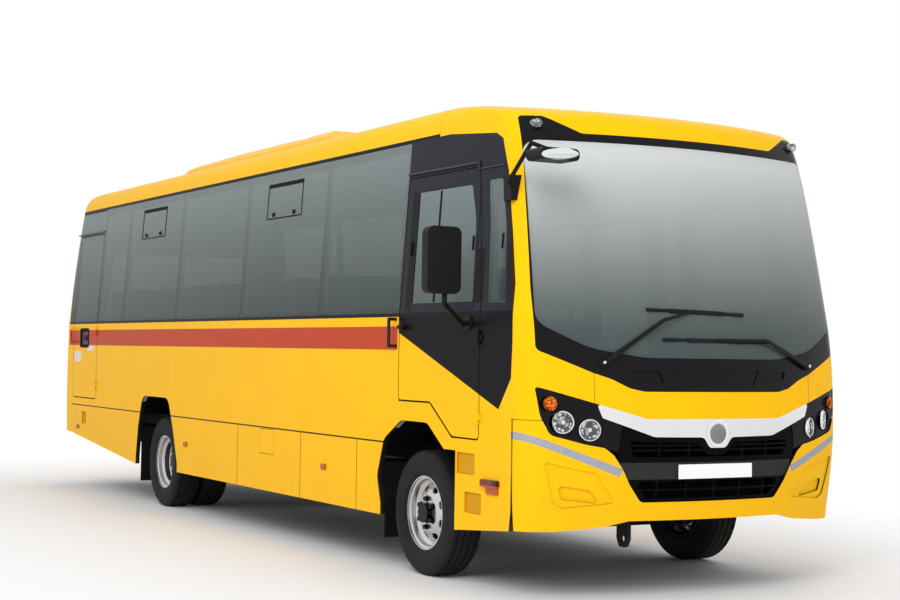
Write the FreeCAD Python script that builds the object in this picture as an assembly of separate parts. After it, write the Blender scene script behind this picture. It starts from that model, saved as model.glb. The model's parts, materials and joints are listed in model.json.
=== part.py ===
# School bus, 9.3 m long, right-hand drive, front engine, in millimetres.
# X points forward, Y to the bus's left, Z up; the origin is on the ground under the middle.

import FreeCAD
import Part
import math
import os

V = FreeCAD.Vector
os.makedirs("parts", exist_ok=True)

# Overall body
LENGTH = 9360.0
BODY_WIDTH = 2380.0
NOSE_X = 4650.0              # station of the nose; stations count from a datum near mid-length
TAIL_X = NOSE_X - LENGTH
MIDDLE_X = NOSE_X - LENGTH / 2
HALF_WIDTH = BODY_WIDTH / 2
TUMBLEHOME = 0.07            # inward lean of the sides above the belt
SHELL = 40.0                 # wall with its frame and lining
GLASS = 8.0
SKIRT_Z = 347.0              # lower edge of the side skirts
SKIRT_TOP_Z = 831.0          # seam between skirt and side wall
BELT_Z = 1660.0              # lower edge of the glass band
CANT_Z = 2810.0              # upper edge of the glass band
CROWN_RISE = 245.0           # cantrail to the top of the roof
FRONT_BULGE = 2900.0         # plan radius of the front face
FRONT_CORNER = 200.0
REAR_BULGE = 16000.0
REAR_CORNER = 60.0
BODY_FLOOR_CUT = 300.0       # lowest level of the body loft

# Running gear
FRONT_AXLE_X = 3090.0
WHEELBASE = 4920.0
REAR_AXLE_X = FRONT_AXLE_X - WHEELBASE
TYRE_R = 400.0
TYRE_WIDTH = 235.0
RIM_R = 236.0
FRONT_RECESS = 50.0          # front tyre wall inside the body side
REAR_RECESS = 68.0
DUAL_SPACING = 262.0
KINGPIN_INSET = 130.0        # kingpin inboard of the tyre's middle
KINGPIN_R = 20.0
KINGPIN_BOSS_R = 34.0
AXLE_Z = TYRE_R
STUB_R = 30.0
DRUM_R = 165.0
DISC = 12.0
NUTS = 6
HAND_HOLES = 8

# Frame
RAIL_Y = 430.0
RAIL_WIDTH = 70.0
RAIL_DEPTH = 190.0
RAIL_WALL = 8.0
RAIL_TOP_Z = 830.0
RAIL_FRONT_X = 4380.0
RAIL_REAR_X = -4420.0
TOW_EYE_R = 22.0
TOW_PLATE = 20.0
TOW_EYE_FRONT_Z = 340.0
TOW_EYE_REAR_Z = 480.0
SHAFT_R = 42.0
SHAFT_HANGER_X = 1250.0
SHAFT_NOTCH_X = 2250.0       # cross member that the propeller shaft passes through
FLOOR_TOP_Z = 900.0
FLOOR_PLATE = 30.0

# Clearances
SEAT_GAP = 0.3               # between pieces that bear on each other
DOOR_GAP = 10.0              # shut line round a swinging door
SEAM = 5.0                   # width of a panel seam
SEAM_DEPTH = 12.0
LID_GAP = 4.0                # shut line of a small lid
GLASS_EDGE = 3.0             # bond line round a pane
FRAME_LAP = 20.0             # frame behind the edge of a pane
EMERGENCY_LAP = 60.0         # the same on the emergency door, glazed across its width
MIRROR_ARM_R = 16.0
HINGE_R = 9.0
HINGE_OUT = 10.0             # hinge line outside the body side
HINGE_STEP = 30.0            # height of one barrel
HINGE_STRAP = 34.0

# Side openings, stations along X
DIVIDERS = (-3625.0, -2861.0, -1411.0, 86.0, 1582.0, 2825.0)
PILLAR = 90.0
DRIVER_DOOR_FRONT_X = 3865.0
EMERGENCY_FRONT_X = -3640.0
EMERGENCY_REAR_X = -4410.0
PASSENGER_FRONT_X = 2500.0
PASSENGER_REAR_X = 1640.0
DRIVER_HINGES = (1000.0, 1480.0)
EMERGENCY_HINGES = (1000.0, 1540.0)
PASSENGER_HINGES = (900.0, 1200.0, 1540.0)
DOOR_TOP_Z = 2560.0
REAR_SEAM_X = -4440.0
DOME_SEAM_X = 3200.0
BUMPER_SEAM_Z = 1052.0


def mirror(shape):
    """Return the shape mirrored to the other side of the bus."""
    return shape.mirror(V(0, 0, 0), V(0, 1, 0))


def both(shape):
    """Return the shape and its mirror image as one compound."""
    return Part.makeCompound([shape, mirror(shape)])


def fuse(shapes):
    """Join shapes that overlap or touch into one."""
    joined = shapes[0].fuse(shapes[1:]) if len(shapes) > 1 else shapes[0]
    return joined.removeSplitter()


def box(x, y, z):
    """Box from three (low, high) ranges."""
    size = V(x[1] - x[0], y[1] - y[0], z[1] - z[0])
    return Part.makeBox(size.x, size.y, size.z, V(x[0], y[0], z[0]))


def rod(a, b, radius):
    """Round bar between two points."""
    return Part.makeCylinder(radius, (b - a).Length, a, b - a)


def place(u, v, axis, at):
    """Point of a drawing plane: axis y draws x against z, axis x draws y against z, axis z draws x against y."""
    return {"y": V(u, at, v), "x": V(at, u, v), "z": V(u, v, at)}[axis]


def outline(points, axis, at=0.0):
    """Closed wire through (u, v, corner radius) points."""
    corners = []
    for i, (u, v, radius) in enumerate(points):
        here = V(u, v, 0)
        before, after = (V(*points[j % len(points)][:2], 0) - here for j in (i - 1, i + 1))
        before.normalize()
        after.normalize()
        half = before.getAngle(after) / 2
        if radius <= 0 or abs(half - math.pi / 2) < 1e-6:
            corners.append((here, None, here))
            continue
        run = radius / math.tan(half)
        middle = before + after
        middle.normalize()
        bow = here + middle * (radius / math.sin(half) - radius)
        corners.append((here + before * run, bow, here + after * run))
    edges = []
    for i, (start, bow, end) in enumerate(corners):
        if bow is not None:
            arc = [place(p.x, p.y, axis, at) for p in (start, bow, end)]
            edges.append(Part.Arc(*arc).toShape())
        following = corners[(i + 1) % len(corners)][0]
        if (following - end).Length > 1e-6:
            run = [place(p.x, p.y, axis, at) for p in (end, following)]
            edges.append(Part.LineSegment(*run).toShape())
    return Part.Wire(edges)


def prism(points, axis, low, high, grow=0.0):
    """Solid between two planes across an axis, with the outline grown by an offset."""
    wire = outline(points, axis, low)
    if grow:
        wire = wire.makeOffset2D(grow)
    reach = {"y": V(0, high - low, 0), "x": V(high - low, 0, 0), "z": V(0, 0, high - low)}[axis]
    return Part.Face(wire).extrude(reach)


def cross_rect(u, v, radius=0.0):
    """Rounded rectangle as outline points from two (low, high) ranges."""
    return [(u[0], v[0], radius), (u[1], v[0], radius), (u[1], v[1], radius), (u[0], v[1], radius)]


# Body surface: closed plan outlines at levels, joined by lofts

def height_curve(points):
    """Smooth curve of one size against height, read with value(z)."""
    curve = Part.BSplineCurve()
    curve.interpolate(Points=[V(size, 0, z) for z, size in points], Parameters=[z for z, size in points])
    return curve


FRONT_LOW = height_curve([(300, NOSE_X - 75), (560, NOSE_X - 42), (830, NOSE_X - 5), (1130, NOSE_X),
                          (1380, NOSE_X - 16), (BELT_Z, NOSE_X - 62)])
FRONT_HIGH = height_curve([(BELT_Z, NOSE_X - 62), (2000, NOSE_X - 130), (2330, NOSE_X - 202),
                           (2663, NOSE_X - 292), (CANT_Z, NOSE_X - 352)])
REAR_LOW = height_curve([(300, TAIL_X + 65), (560, TAIL_X + 26), (860, TAIL_X), (1300, TAIL_X + 1),
                         (BELT_Z, TAIL_X + 22)])
REAR_HIGH = height_curve([(BELT_Z, TAIL_X + 22), (2000, TAIL_X + 60), (2330, TAIL_X + 115),
                          (CANT_Z, TAIL_X + 232)])
# Roof levels: rise over the cantrail, inset of the side, run back of the front and of the rear
ROOF_LEVELS = [(0, 0, 0, 0), (36, 3, 22, 14), (70, 8, 70, 30), (100, 16, 165, 55), (130, 30, 330, 90),
               (158, 52, 520, 130), (182, 90, 730, 190), (200, 148, 950, 270), (217, 270, 1230, 400),
               (233, 450, 1580, 620), (CROWN_RISE, 700, 2000, 950)]
COVE_LEVELS = 7              # roof levels in the cove; the crown loft starts on the last of them


def half_width(z):
    """Half width of the body side at a height up to the cantrail."""
    return HALF_WIDTH - TUMBLEHOME * max(0.0, z - BELT_Z)


def body_levels():
    """Levels of the three lofts as (z, half width, front x, rear x)."""
    low_step = (BELT_Z - BODY_FLOOR_CUT) / 6
    low = [BODY_FLOOR_CUT + i * low_step for i in range(7)]
    high_step = (CANT_Z - BELT_Z) / 5
    high = [BELT_Z + i * high_step for i in range(6)]
    lower = [(z, HALF_WIDTH, FRONT_LOW.value(z).x, REAR_LOW.value(z).x) for z in low]
    upper = [(z, half_width(z), FRONT_HIGH.value(z).x, REAR_HIGH.value(z).x) for z in high]
    _, top_width, top_front, top_rear = upper[-1]
    roof = [(CANT_Z + rise, top_width - side, top_front - front, top_rear + rear)
            for rise, side, front, rear in ROOF_LEVELS]
    return lower, upper, roof


def plan_end(x, bulge, corner, width, forward):
    """Points of one end of a plan outline: middle, end of the bulge, corner's middle, end of the side."""
    across = width - corner
    centre = x - forward * bulge
    corner_x = centre + forward * math.sqrt((bulge - corner) ** 2 - across ** 2)
    share = bulge / (bulge - corner)
    meet = V(centre + (corner_x - centre) * share, across * share, 0)
    lean = (meet - V(corner_x, across, 0)) / corner + V(0, 1, 0)
    lean.normalize()
    return V(x, 0, 0), meet, V(corner_x, across, 0) + lean * corner, V(corner_x, width, 0)


def plan_wire(z, width, front, rear, inset):
    """Closed plan outline of the body at one level, inset from the outer surface."""
    width, front, rear = width - inset, front - inset, rear + inset
    nose, nose_meet, nose_mid, nose_side = plan_end(front, FRONT_BULGE - inset, FRONT_CORNER - inset, width, 1)
    tail, tail_meet, tail_mid, tail_side = plan_end(rear, REAR_BULGE - inset, REAR_CORNER - inset, width, -1)
    lift = V(0, 0, z)
    left = [p + lift for p in (nose, nose_meet, nose_mid, nose_side, tail_side, tail_mid, tail_meet, tail)]
    right = [V(p.x, -p.y, p.z) for p in left]
    edges = [Part.Arc(left[1], left[0], right[1]), Part.Arc(right[1], right[2], right[3]),
             Part.LineSegment(right[3], right[4]), Part.Arc(right[4], right[5], right[6]),
             Part.Arc(right[6], left[7], left[6]), Part.Arc(left[6], left[5], left[4]),
             Part.LineSegment(left[4], left[3]), Part.Arc(left[3], left[2], left[1])]
    return Part.Wire([edge.toShape() for edge in edges])


def body_lofts(inset):
    """Lower, window, cove and crown lofts of the body surface at an inset."""
    lower, upper, roof = body_levels()
    sunk = []
    for i, (z, width, front, rear) in enumerate(roof):
        below, above = roof[max(i - 1, 0)], roof[min(i + 1, len(roof) - 1)]
        rise = above[0] - below[0]
        side_lean, front_lean = (math.atan2(below[k] - above[k], rise) if i else 0.0 for k in (1, 2))
        sunk.append((z - inset * math.sin(front_lean), width + inset - inset * math.cos(side_lean), front, rear))
    return [Part.makeLoft([plan_wire(*level, inset) for level in group], True, False)
            for group in (lower, upper, sunk[:COVE_LEVELS], sunk[COVE_LEVELS - 1:])]


OUTER = fuse(body_lofts(0.0))
INNER_WALL = fuse(body_lofts(SHELL))
INNER_GLASS = fuse(body_lofts(GLASS))
INNER_SEAM = fuse(body_lofts(SEAM_DEPTH))
OUT_Y = HALF_WIDTH + 200
IN_Y = HALF_WIDTH - 650


WALL = OUTER.cut(INNER_WALL)
GLASS_SKIN = OUTER.cut(INNER_GLASS)
SEAM_SKIN = OUTER.cut(INNER_SEAM)


def right_side(points, grow=0.0):
    """Region of the right side under an XZ outline."""
    return prism(points, "y", -OUT_Y, -IN_Y, grow)


def flat_side(outer, inner):
    """Flat right side between two depths below its outer surface."""
    lean = TUMBLEHOME * (CANT_Z - BELT_Z)
    y = -HALF_WIDTH
    points = [(y + outer, BODY_FLOOR_CUT), (y + inner, BODY_FLOOR_CUT), (y + inner, BELT_Z),
              (y + inner + lean, CANT_Z), (y + outer + lean, CANT_Z), (y + outer, BELT_Z)]
    return prism([(u, v, 0) for u, v in points], "x", TAIL_X, NOSE_X)


SIDE_WALL = flat_side(0, SHELL)
SIDE_GLASS = flat_side(0, GLASS)
SIDE_REBATE = flat_side(-60, GLASS)
SIDE_SEAM = flat_side(-60, SEAM_DEPTH)


# Wheel arches, as outlines relative to the axle
FRONT_ARCH = [(-489, 200, 0), (-489, 420, 60), (-545, 600, 90), (-455, 850, 110), (-215, 984, 120),
              (140, 984, 120), (375, 820, 110), (470, 630, 90), (495, 330, 20), (495, 200, 0)]
REAR_ARCH = [(-549, 200, 0), (-549, 420, 60), (-500, 700, 110), (-395, 984, 130), (295, 984, 130),
             (440, 700, 110), (554, 420, 60), (554, 200, 0)]


def arch(points, axle_x):
    """Arch outline at an axle."""
    return [(axle_x + u, v, radius) for u, v, radius in points]


FRONT_OPENING = arch(FRONT_ARCH, FRONT_AXLE_X)
REAR_OPENING = arch(REAR_ARCH, REAR_AXLE_X)
ARCHES = both(Part.makeCompound([right_side(FRONT_OPENING), right_side(REAR_OPENING)]))

# Seam that runs down between the corner panel and the front shell
FASCIA = [(4263, 404), (4226, 1200), (4242, 1500), (4231, 1839), (4167, 2141), (4072, 2519),
          (3986, 2719), (3906, 2758)]

DRIVER_DOOR = [(2838, 1118, 30), (3265, 1118, 60), (3549, 916, 80), (DRIVER_DOOR_FRONT_X, 914, 25),
               (DRIVER_DOOR_FRONT_X, BELT_Z + 80, 900), (3800, 2240, 300), (3736, DOOR_TOP_Z, 40),
               (2838, DOOR_TOP_Z, 30)]
DRIVER_DOOR_GLASS = [(2983, 1740, 25), (3766, 1740, 25), (3740, 2240, 400), (3662, 2462, 25), (2983, 2462, 25)]
QUARTER_GLASS = [(3952, 1725, 20), (4150, 1725, 20), (4100, 2190, 600), (4018, 2474, 20), (3868, 2474, 20),
                 (3915, 2200, 600)]
CODRIVER_GLASS = [(2983, 1725, 25), (3800, 1725, 25), (3760, 2240, 400), (3690, 2474, 25), (2983, 2474, 25)]
EMERGENCY_DOOR = cross_rect((EMERGENCY_REAR_X, EMERGENCY_FRONT_X), (912, DOOR_TOP_Z), 35)
EMERGENCY_GLASS = cross_rect((EMERGENCY_REAR_X + 8, EMERGENCY_FRONT_X - 8), (BELT_Z + 20, DOOR_TOP_Z - 8), 20)
EMERGENCY_LATCH = cross_rect((-4190, -3890), (1415, 1615), 60)
PASSENGER_DOOR = cross_rect((PASSENGER_REAR_X, PASSENGER_FRONT_X), (385, DOOR_TOP_Z), 30)
PASSENGER_GLASS = cross_rect((PASSENGER_REAR_X + 90, PASSENGER_FRONT_X - 90), (1000, 2440), 40)
SKIRT_SEAMS = (100.0, 1310.0, 2240.0)
FUEL_FLAP = cross_rect((540, 830), (628, 820), 12)
CORNER_RECESSES = (cross_rect((3612, 3830), (694, 823), 14), cross_rect((3713, 3912), (464, 590), 14))
REAR_RECESS_PANEL = cross_rect((-4085, -3930), (645, 765), 14)
SKIRT_BOTTOM = [(REAR_SEAM_X, 541), (REAR_AXLE_X - 549, SKIRT_Z), (FRONT_AXLE_X, SKIRT_Z)]


def glass_pane(points):
    """Pane bonded flush with the right side."""
    return SIDE_GLASS.common(right_side(points))


def rebate(points):
    """Seat of a bonded pane, with its bond line."""
    return SIDE_REBATE.common(right_side(points, GLASS_EDGE))


def side_window(rear_x, front_x):
    """Outlines of a pane and of the hole behind it between two pillars."""
    pane = cross_rect((rear_x + GLASS_EDGE, front_x - GLASS_EDGE), (BELT_Z + 20, CANT_Z - GLASS), 8)
    hole = cross_rect((rear_x + PILLAR / 2, front_x - PILLAR / 2), (BELT_Z + 45, CANT_Z - 70), 40)
    return pane, hole


def build_side_wall(doors, stations, region):
    """Side wall above the skirt seam and its window panes, as right-hand pieces."""
    wall = WALL.common(right_side(region)).cut(ARCHES)
    panes = []
    for rear_x, front_x in stations:
        pane, hole = side_window(rear_x, front_x)
        wall = wall.cut(right_side(hole)).cut(rebate(pane))
        panes.append(glass_pane(pane))
    for door in doors:
        wall = wall.cut(right_side(door, DOOR_GAP))
    return wall, panes


def build_leaf(points, pane, lap=FRAME_LAP):
    """Door leaf with its window hole, and its pane, on the right side."""
    leaf = SIDE_WALL.common(right_side(points)).cut(right_side(pane, -lap)).cut(rebate(pane))
    return leaf, glass_pane(pane)


def pressed(points):
    """Shallow pressing in the right side, as the region to cut away."""
    return SIDE_SEAM.common(right_side(points))


def shut_line(points):
    """Groove round a small lid in the right side, as the region to cut away."""
    return SIDE_SEAM.common(right_side(points).cut(right_side(points, -LID_GAP)))


def hang(leaf, wall, edge_x, levels):
    """Door leaf and wall, each with its barrels and straps on the shut line at the right side."""
    x, y = edge_x + DOOR_GAP / 2, -HALF_WIDTH - HINGE_OUT
    turned_parts = {1: [wall], -1: [leaf]}
    for z in levels:
        for step, owner in ((0, -1), (1, 1), (2, -1)):
            low, high = z + step * HINGE_STEP + SEAT_GAP / 2, z + (step + 1) * HINGE_STEP - SEAT_GAP / 2
            barrel = Part.makeCylinder(HINGE_R, high - low, V(x, y, low))
            strap = box(sorted((x, x + owner * HINGE_STRAP)), (y, -HALF_WIDTH + 1), (low, high))
            gap = box(sorted((x, x + owner * DOOR_GAP / 2)), (y + HINGE_R, OUT_Y), (low, high))
            turned_parts[owner] += [barrel, strap.cut(gap)]
    return fuse(turned_parts[-1]), fuse(turned_parts[1])


def build_corner(region, panes):
    """Panel at the front corner behind the fascia seam, with its fixed panes, as right-hand pieces."""
    corner = WALL.common(right_side(region)).cut(ARCHES)
    for pane in panes:
        corner = corner.cut(right_side(pane, -FRAME_LAP)).cut(rebate(pane))
    return corner, [glass_pane(pane) for pane in panes]


def build_skirt():
    """Skirt under the side wall between the arches, with its seams, as a right-hand piece."""
    low = [(u, v, 0) for u, v in SKIRT_BOTTOM]
    band = low + [(FRONT_AXLE_X, SKIRT_TOP_Z, 0), (REAR_SEAM_X, SKIRT_TOP_Z, 0)]
    skirt = SIDE_WALL.common(right_side(band)).cut(ARCHES)
    grooves = [box((x - SEAM / 2, x + SEAM / 2), (-OUT_Y, OUT_Y), (0, SKIRT_TOP_Z)) for x in SKIRT_SEAMS]
    grooves.append(box((TAIL_X, NOSE_X), (-OUT_Y, OUT_Y), (SKIRT_TOP_Z - SEAM, SKIRT_TOP_Z)))
    return skirt.cut(SIDE_SEAM.common(Part.makeCompound(grooves))).cut(pressed(REAR_RECESS_PANEL))


def symmetric(points):
    """Closed outline from its left half, listed from the bottom middle to the top middle."""
    return [(u, v, r) for u, v, r in points] + [(-u, v, r) for u, v, r in reversed(points)]


def front(points, grow=0.0):
    """Region of the front face under a YZ outline."""
    return prism(points, "x", DOME_SEAM_X + 200, NOSE_X + 200, grow)


# Black and yellow fields of the front face, left half, from the bottom middle to the top middle
FLAP = symmetric([(812, 1000, 0), (812, 1345, 0)])
DARK_FIELD = symmetric([(502, 574, 50), (581, 679, 120), (630, 768, 120), (689, 850, 60), (745, 893, 40),
                        (855, 912, 200), (1060, 966, 60), (1111, 1071, 200), (1134, 1244, 12),
                        (488, 1060, 120)])
SCREEN_RING = symmetric([(503, 1219, 100), (596, 1238, 60), (706, 1290, 60), (818, 1326, 0),
                         (1124, 1453, 40), (1120, 1818, 900), (1092, 2361, 900), (1060, 2850, 24),
                         (930, 2850, 40), (720, 2748, 60)])
SCREEN_SIGHT = symmetric([(500, 1436, 900), (821, 1486, 500), (1094, 1622, 80), (1076, 2088, 900),
                          (1050, 2676, 60)])
TRIM_BAR = symmetric([(60, 890, 40), (104, 952, 40), (441, 956, 120), (763, 1066, 15), (797, 1148, 12),
                      (488, 1060, 120)])
HEADLAMP = [(664, 868, 0), (745, 893, 40), (855, 912, 200), (1060, 966, 60), (1111, 1071, 200),
            (1134, 1244, 12), (797, 1148, 0), (763, 1066, 0), (640, 1016, 0)]
GRILLE = symmetric([(502, 574, 50), (581, 679, 120), (630, 768, 120), (664, 868, 0), (640, 1016, 0),
                    (441, 956, 120), (104, 952, 40), (60, 890, 40)])
UPPER_SLOT = symmetric([(560, 838, 20), (600, 930, 20), (430, 925, 20), (130, 920, 20), (80, 862, 20),
                        (60, 850, 20)])
LOWER_SLOT = symmetric([(460, 596, 20), (540, 696, 20)])
LAMPS = ((991, 1040, 70, 40), (836, 996, 68, 30), (1066, 1146, 44, 60))
BUMPER_FACE = symmetric([(560, 466, 60), (720, 432, 60), (1000, 408, 200), (OUT_Y, 404, 0),
                         (OUT_Y, BUMPER_SEAM_Z, 0)])
FOG_POCKET = [(1086, 812, 12), (885, 766, 60), (790, 753, 12), (659, 572, 12), (962, 543, 30), (1022, 574, 20)]
FOG_FLOOR = [(998, 678, 20), (811, 649, 30), (746, 567, 12), (973, 593, 20)]
NAME_PANEL = symmetric([(284, 1257, 8), (338, 1348, 8)])
NAME_POCKET = [(372, 1268, 8), (560, 1298, 8), (575, 1338, 8), (410, 1338, 8)]
FOG_STEP = 8.0
FOG_DEPTH = 22.0
PANEL_DEPTH = 6.0
WINDSCREEN_LAP = 20.0
REAR_WINDOW = symmetric([(800, 1740, 60), (760, 2440, 60)])


def build_front():
    """Front shell, bumper, flap, dark fields, lamps and windscreen."""
    fascia = [(x, z, 0) for x, z in FASCIA]
    upper = [p for p in fascia if p[1] > BUMPER_SEAM_Z]
    region = ([(4233, BUMPER_SEAM_Z, 0)] + upper + [(3336, CANT_Z, 0), (DOME_SEAM_X, CANT_Z, 0),
              (DOME_SEAM_X, CANT_Z + 400, 0), (NOSE_X + 100, CANT_Z + 400, 0), (NOSE_X + 100, BUMPER_SEAM_Z, 0)])
    nose = box((3000, NOSE_X + 100), (-OUT_Y, OUT_Y), (BODY_FLOOR_CUT, CANT_Z + 400))
    wall, glass, seam = (skin.common(nose) for skin in (WALL, GLASS_SKIN, SEAM_SKIN))
    dark, ring_field, flap_field = front(DARK_FIELD), front(SCREEN_RING), front(FLAP)
    shell = wall.common(prism(region, "y", -OUT_Y, OUT_Y)).cut(Part.makeCompound([ring_field, flap_field, dark]))
    low = [(4233, BUMPER_SEAM_Z, 0), (4263, 404, 0), (4263, 380, 0), (NOSE_X + 100, 380, 0),
           (NOSE_X + 100, BUMPER_SEAM_Z, 0)]
    bumper = wall.common(prism(low, "y", -OUT_Y, OUT_Y)).common(front(BUMPER_FACE)).cut(dark)
    bumper = bumper.cut(seam.common(box((3900, NOSE_X), (-OUT_Y, OUT_Y), (BUMPER_SEAM_Z - SEAM, BUMPER_SEAM_Z))))
    flap = wall.common(flap_field).cut(seam.common(flap_field.cut(front(FLAP, -SEAM))))
    flap = flap.cut(ring_field).cut(dark)
    outer = OUTER.common(nose)
    bumper = bumper.cut(both(front(FOG_POCKET).cut(outer.translated(V(-FOG_STEP, 0, 0)))))
    bumper = bumper.cut(both(front(FOG_FLOOR).cut(outer.translated(V(-FOG_DEPTH, 0, 0)))))
    bar = wall.common(front(TRIM_BAR))
    ring = wall.common(ring_field).cut(front(SCREEN_SIGHT))
    ring = ring.cut(glass.common(front(SCREEN_SIGHT, WINDSCREEN_LAP + GLASS_EDGE)))
    panel = front(NAME_PANEL).cut(outer.translated(V(-PANEL_DEPTH, 0, 0)))
    pockets = both(front(NAME_POCKET).cut(outer.translated(V(-2 * PANEL_DEPTH, 0, 0))))
    ring = ring.cut(panel).cut(pockets)
    screen = glass.common(front(SCREEN_SIGHT, WINDSCREEN_LAP))
    lamp_panel = wall.cut(glass).common(front(HEADLAMP))
    behind = wall.cut(seam)
    grille = behind.common(front(GRILLE))
    grille = grille.cut(front(UPPER_SLOT)).cut(front(LOWER_SLOT))
    bars = Part.makeCompound([box((4000, NOSE_X), (-620, 620), (z, z + 12)) for z in (640, 872, 900)])
    posts = Part.makeCompound([box((4000, NOSE_X), (y - 6, y + 6), (590, 940)) for y in (-400, -200, 0, 200, 400)])
    slats = behind.common(bars.fuse(posts))
    slats = slats.common(front(UPPER_SLOT, 2).fuse(front(LOWER_SLOT, 2)))
    grille = fuse([grille, slats])
    lamps = []
    for y, z, radius, toe in LAMPS:
        reach = V(math.cos(math.radians(toe)), math.sin(math.radians(toe)), 0)
        ray = Part.makeLine(V(3600, y, z), V(NOSE_X, y, z))
        face_x = INNER_GLASS.common(ray).BoundBox.XMax
        foot = V(face_x, y, z) - reach * 55
        lamp_panel = lamp_panel.cut(rod(foot - reach * 50, foot + reach * 200, radius))
        body = Part.makeCylinder(radius - SEAT_GAP, 62, foot, reach)
        ball = Part.makeSphere(radius * 2.4, foot + reach * (66 - radius * 2.4))
        lamps.append(body.common(ball))
    lamp_panel = both(lamp_panel)
    return shell, bumper, flap, bar, ring, screen, lamp_panel, grille, both(Part.makeCompound(lamps))


def turned(loop):
    """Solid of revolution about the wheel's axis from (radius, y) points."""
    corners = [V(0, y, r) for r, y in loop]
    return Part.Face(Part.makePolygon(corners + corners[:1])).revolve(V(), V(0, 1, 0), 360)


def disc_bar(radius, low, high):
    """Round bar along the wheel's axis."""
    return Part.makeCylinder(radius, high - low, V(0, low, 0), V(0, 1, 0))


def build_barrel():
    """Rim barrel with its two flanges and the well."""
    half = TYRE_WIDTH / 2 - 20
    lip = [(RIM_R, -half), (RIM_R, 12 - half), (RIM_R - 12, 20 - half), (RIM_R - 18, 50 - half),
           (RIM_R - 40, 66 - half), (RIM_R - 40, 20), (RIM_R - 16, 34), (RIM_R - 12, half - 16),
           (RIM_R, half - 10), (RIM_R, half)]
    return turned(lip + [(r - 8, y) for r, y in reversed(lip)])


def build_disc(mount_y, bowl_y, lip_y):
    """Pressed wheel disc with its hand holes, from the mounting face out to the barrel."""
    press = [(55, mount_y), (118, mount_y), (150, (mount_y + bowl_y) / 2), (176, bowl_y), (RIM_R - 46, lip_y)]
    disc = turned(press + [(r, y + DISC) for r, y in reversed(press)])
    hole = Part.makeCylinder(19, 300, V(0, -150, 158), V(0, 1, 0))
    hand_hole = hole.fuse(hole.translated(V(9, 0, 0))).fuse(hole.translated(V(-9, 0, 0)))
    ring = [hand_hole.rotated(V(), V(0, 1, 0), (i + 0.5) * 360 / HAND_HOLES) for i in range(HAND_HOLES)]
    return disc.cut(Part.makeCompound(ring))


def build_nuts(mount_y):
    """Ring of wheel nuts on the mounting face."""
    nut = disc_bar(15, mount_y - 24, mount_y).translated(V(0, 0, 90))
    return [nut.rotated(V(), V(0, 1, 0), i * 360 / NUTS) for i in range(NUTS)]


def build_front_wheel():
    """Front wheel about the origin, outer face towards -Y: barrel, disc, hub and drum."""
    half = TYRE_WIDTH / 2 - 20
    mount = 18 - half
    hub = disc_bar(62, mount - 34, half - 40)
    drum = disc_bar(DRUM_R, half - 40, half + 15).cut(disc_bar(DRUM_R - 15, half - 30, half + 15))
    bore = disc_bar(STUB_R + SEAT_GAP, mount, half + 60)
    solid = fuse([build_barrel(), build_disc(mount, mount + 42, mount + 52), hub, drum] + build_nuts(mount))
    return solid.cut(bore)


def build_rear_wheel():
    """Twin rear wheel about the outer wheel's middle, outer face towards -Y."""
    middle = DUAL_SPACING / 2
    outer = [build_barrel(), build_disc(middle - DISC, 40, 10)]
    inner = [piece.mirror(V(0, middle, 0), V(0, 1, 0)) for piece in outer]
    hub = disc_bar(80, middle - 150, middle + 60)
    drum = disc_bar(DRUM_R, middle + 40, middle + 190).cut(disc_bar(DRUM_R - 15, middle + 52, middle + 190))
    bore = disc_bar(STUB_R + SEAT_GAP, middle - 130, middle + 200)
    return fuse(outer + inner + [hub, drum] + build_nuts(middle - DISC)).cut(bore)


def build_tyre():
    """One tyre about the origin."""
    half = TYRE_WIDTH / 2
    section = [(RIM_R + SEAT_GAP, half - 20), (RIM_R + 20, half - 8), (RIM_R + 75, half), (TYRE_R - 40, half - 4),
               (TYRE_R - 12, half - 16), (TYRE_R - 3, half - 30), (TYRE_R, half - 50)]
    loop = section + [(r, -y) for r, y in reversed(section)]
    corners = [V(0, y, r) for r, y in loop]
    return Part.Face(Part.makePolygon(corners + corners[:1])).revolve(V(), V(0, 1, 0), 360)


SPRING_Y = RAIL_Y
FRONT_TYRE_Y = HALF_WIDTH - FRONT_RECESS - TYRE_WIDTH / 2
REAR_OUTER_Y = HALF_WIDTH - REAR_RECESS - TYRE_WIDTH / 2
KINGPIN_Y = FRONT_TYRE_Y - KINGPIN_INSET
AXLE_TUBE_R = 62.0
SPRING_HALF = 680.0
SPRING_WIDTH = 64.0
SPRING_STACK = 60.0
AXLE_BEAM_TOP = AXLE_Z - 20
BOSS_HALF = 52.0
SPRING_EYE_Z = AXLE_Z + 200


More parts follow.
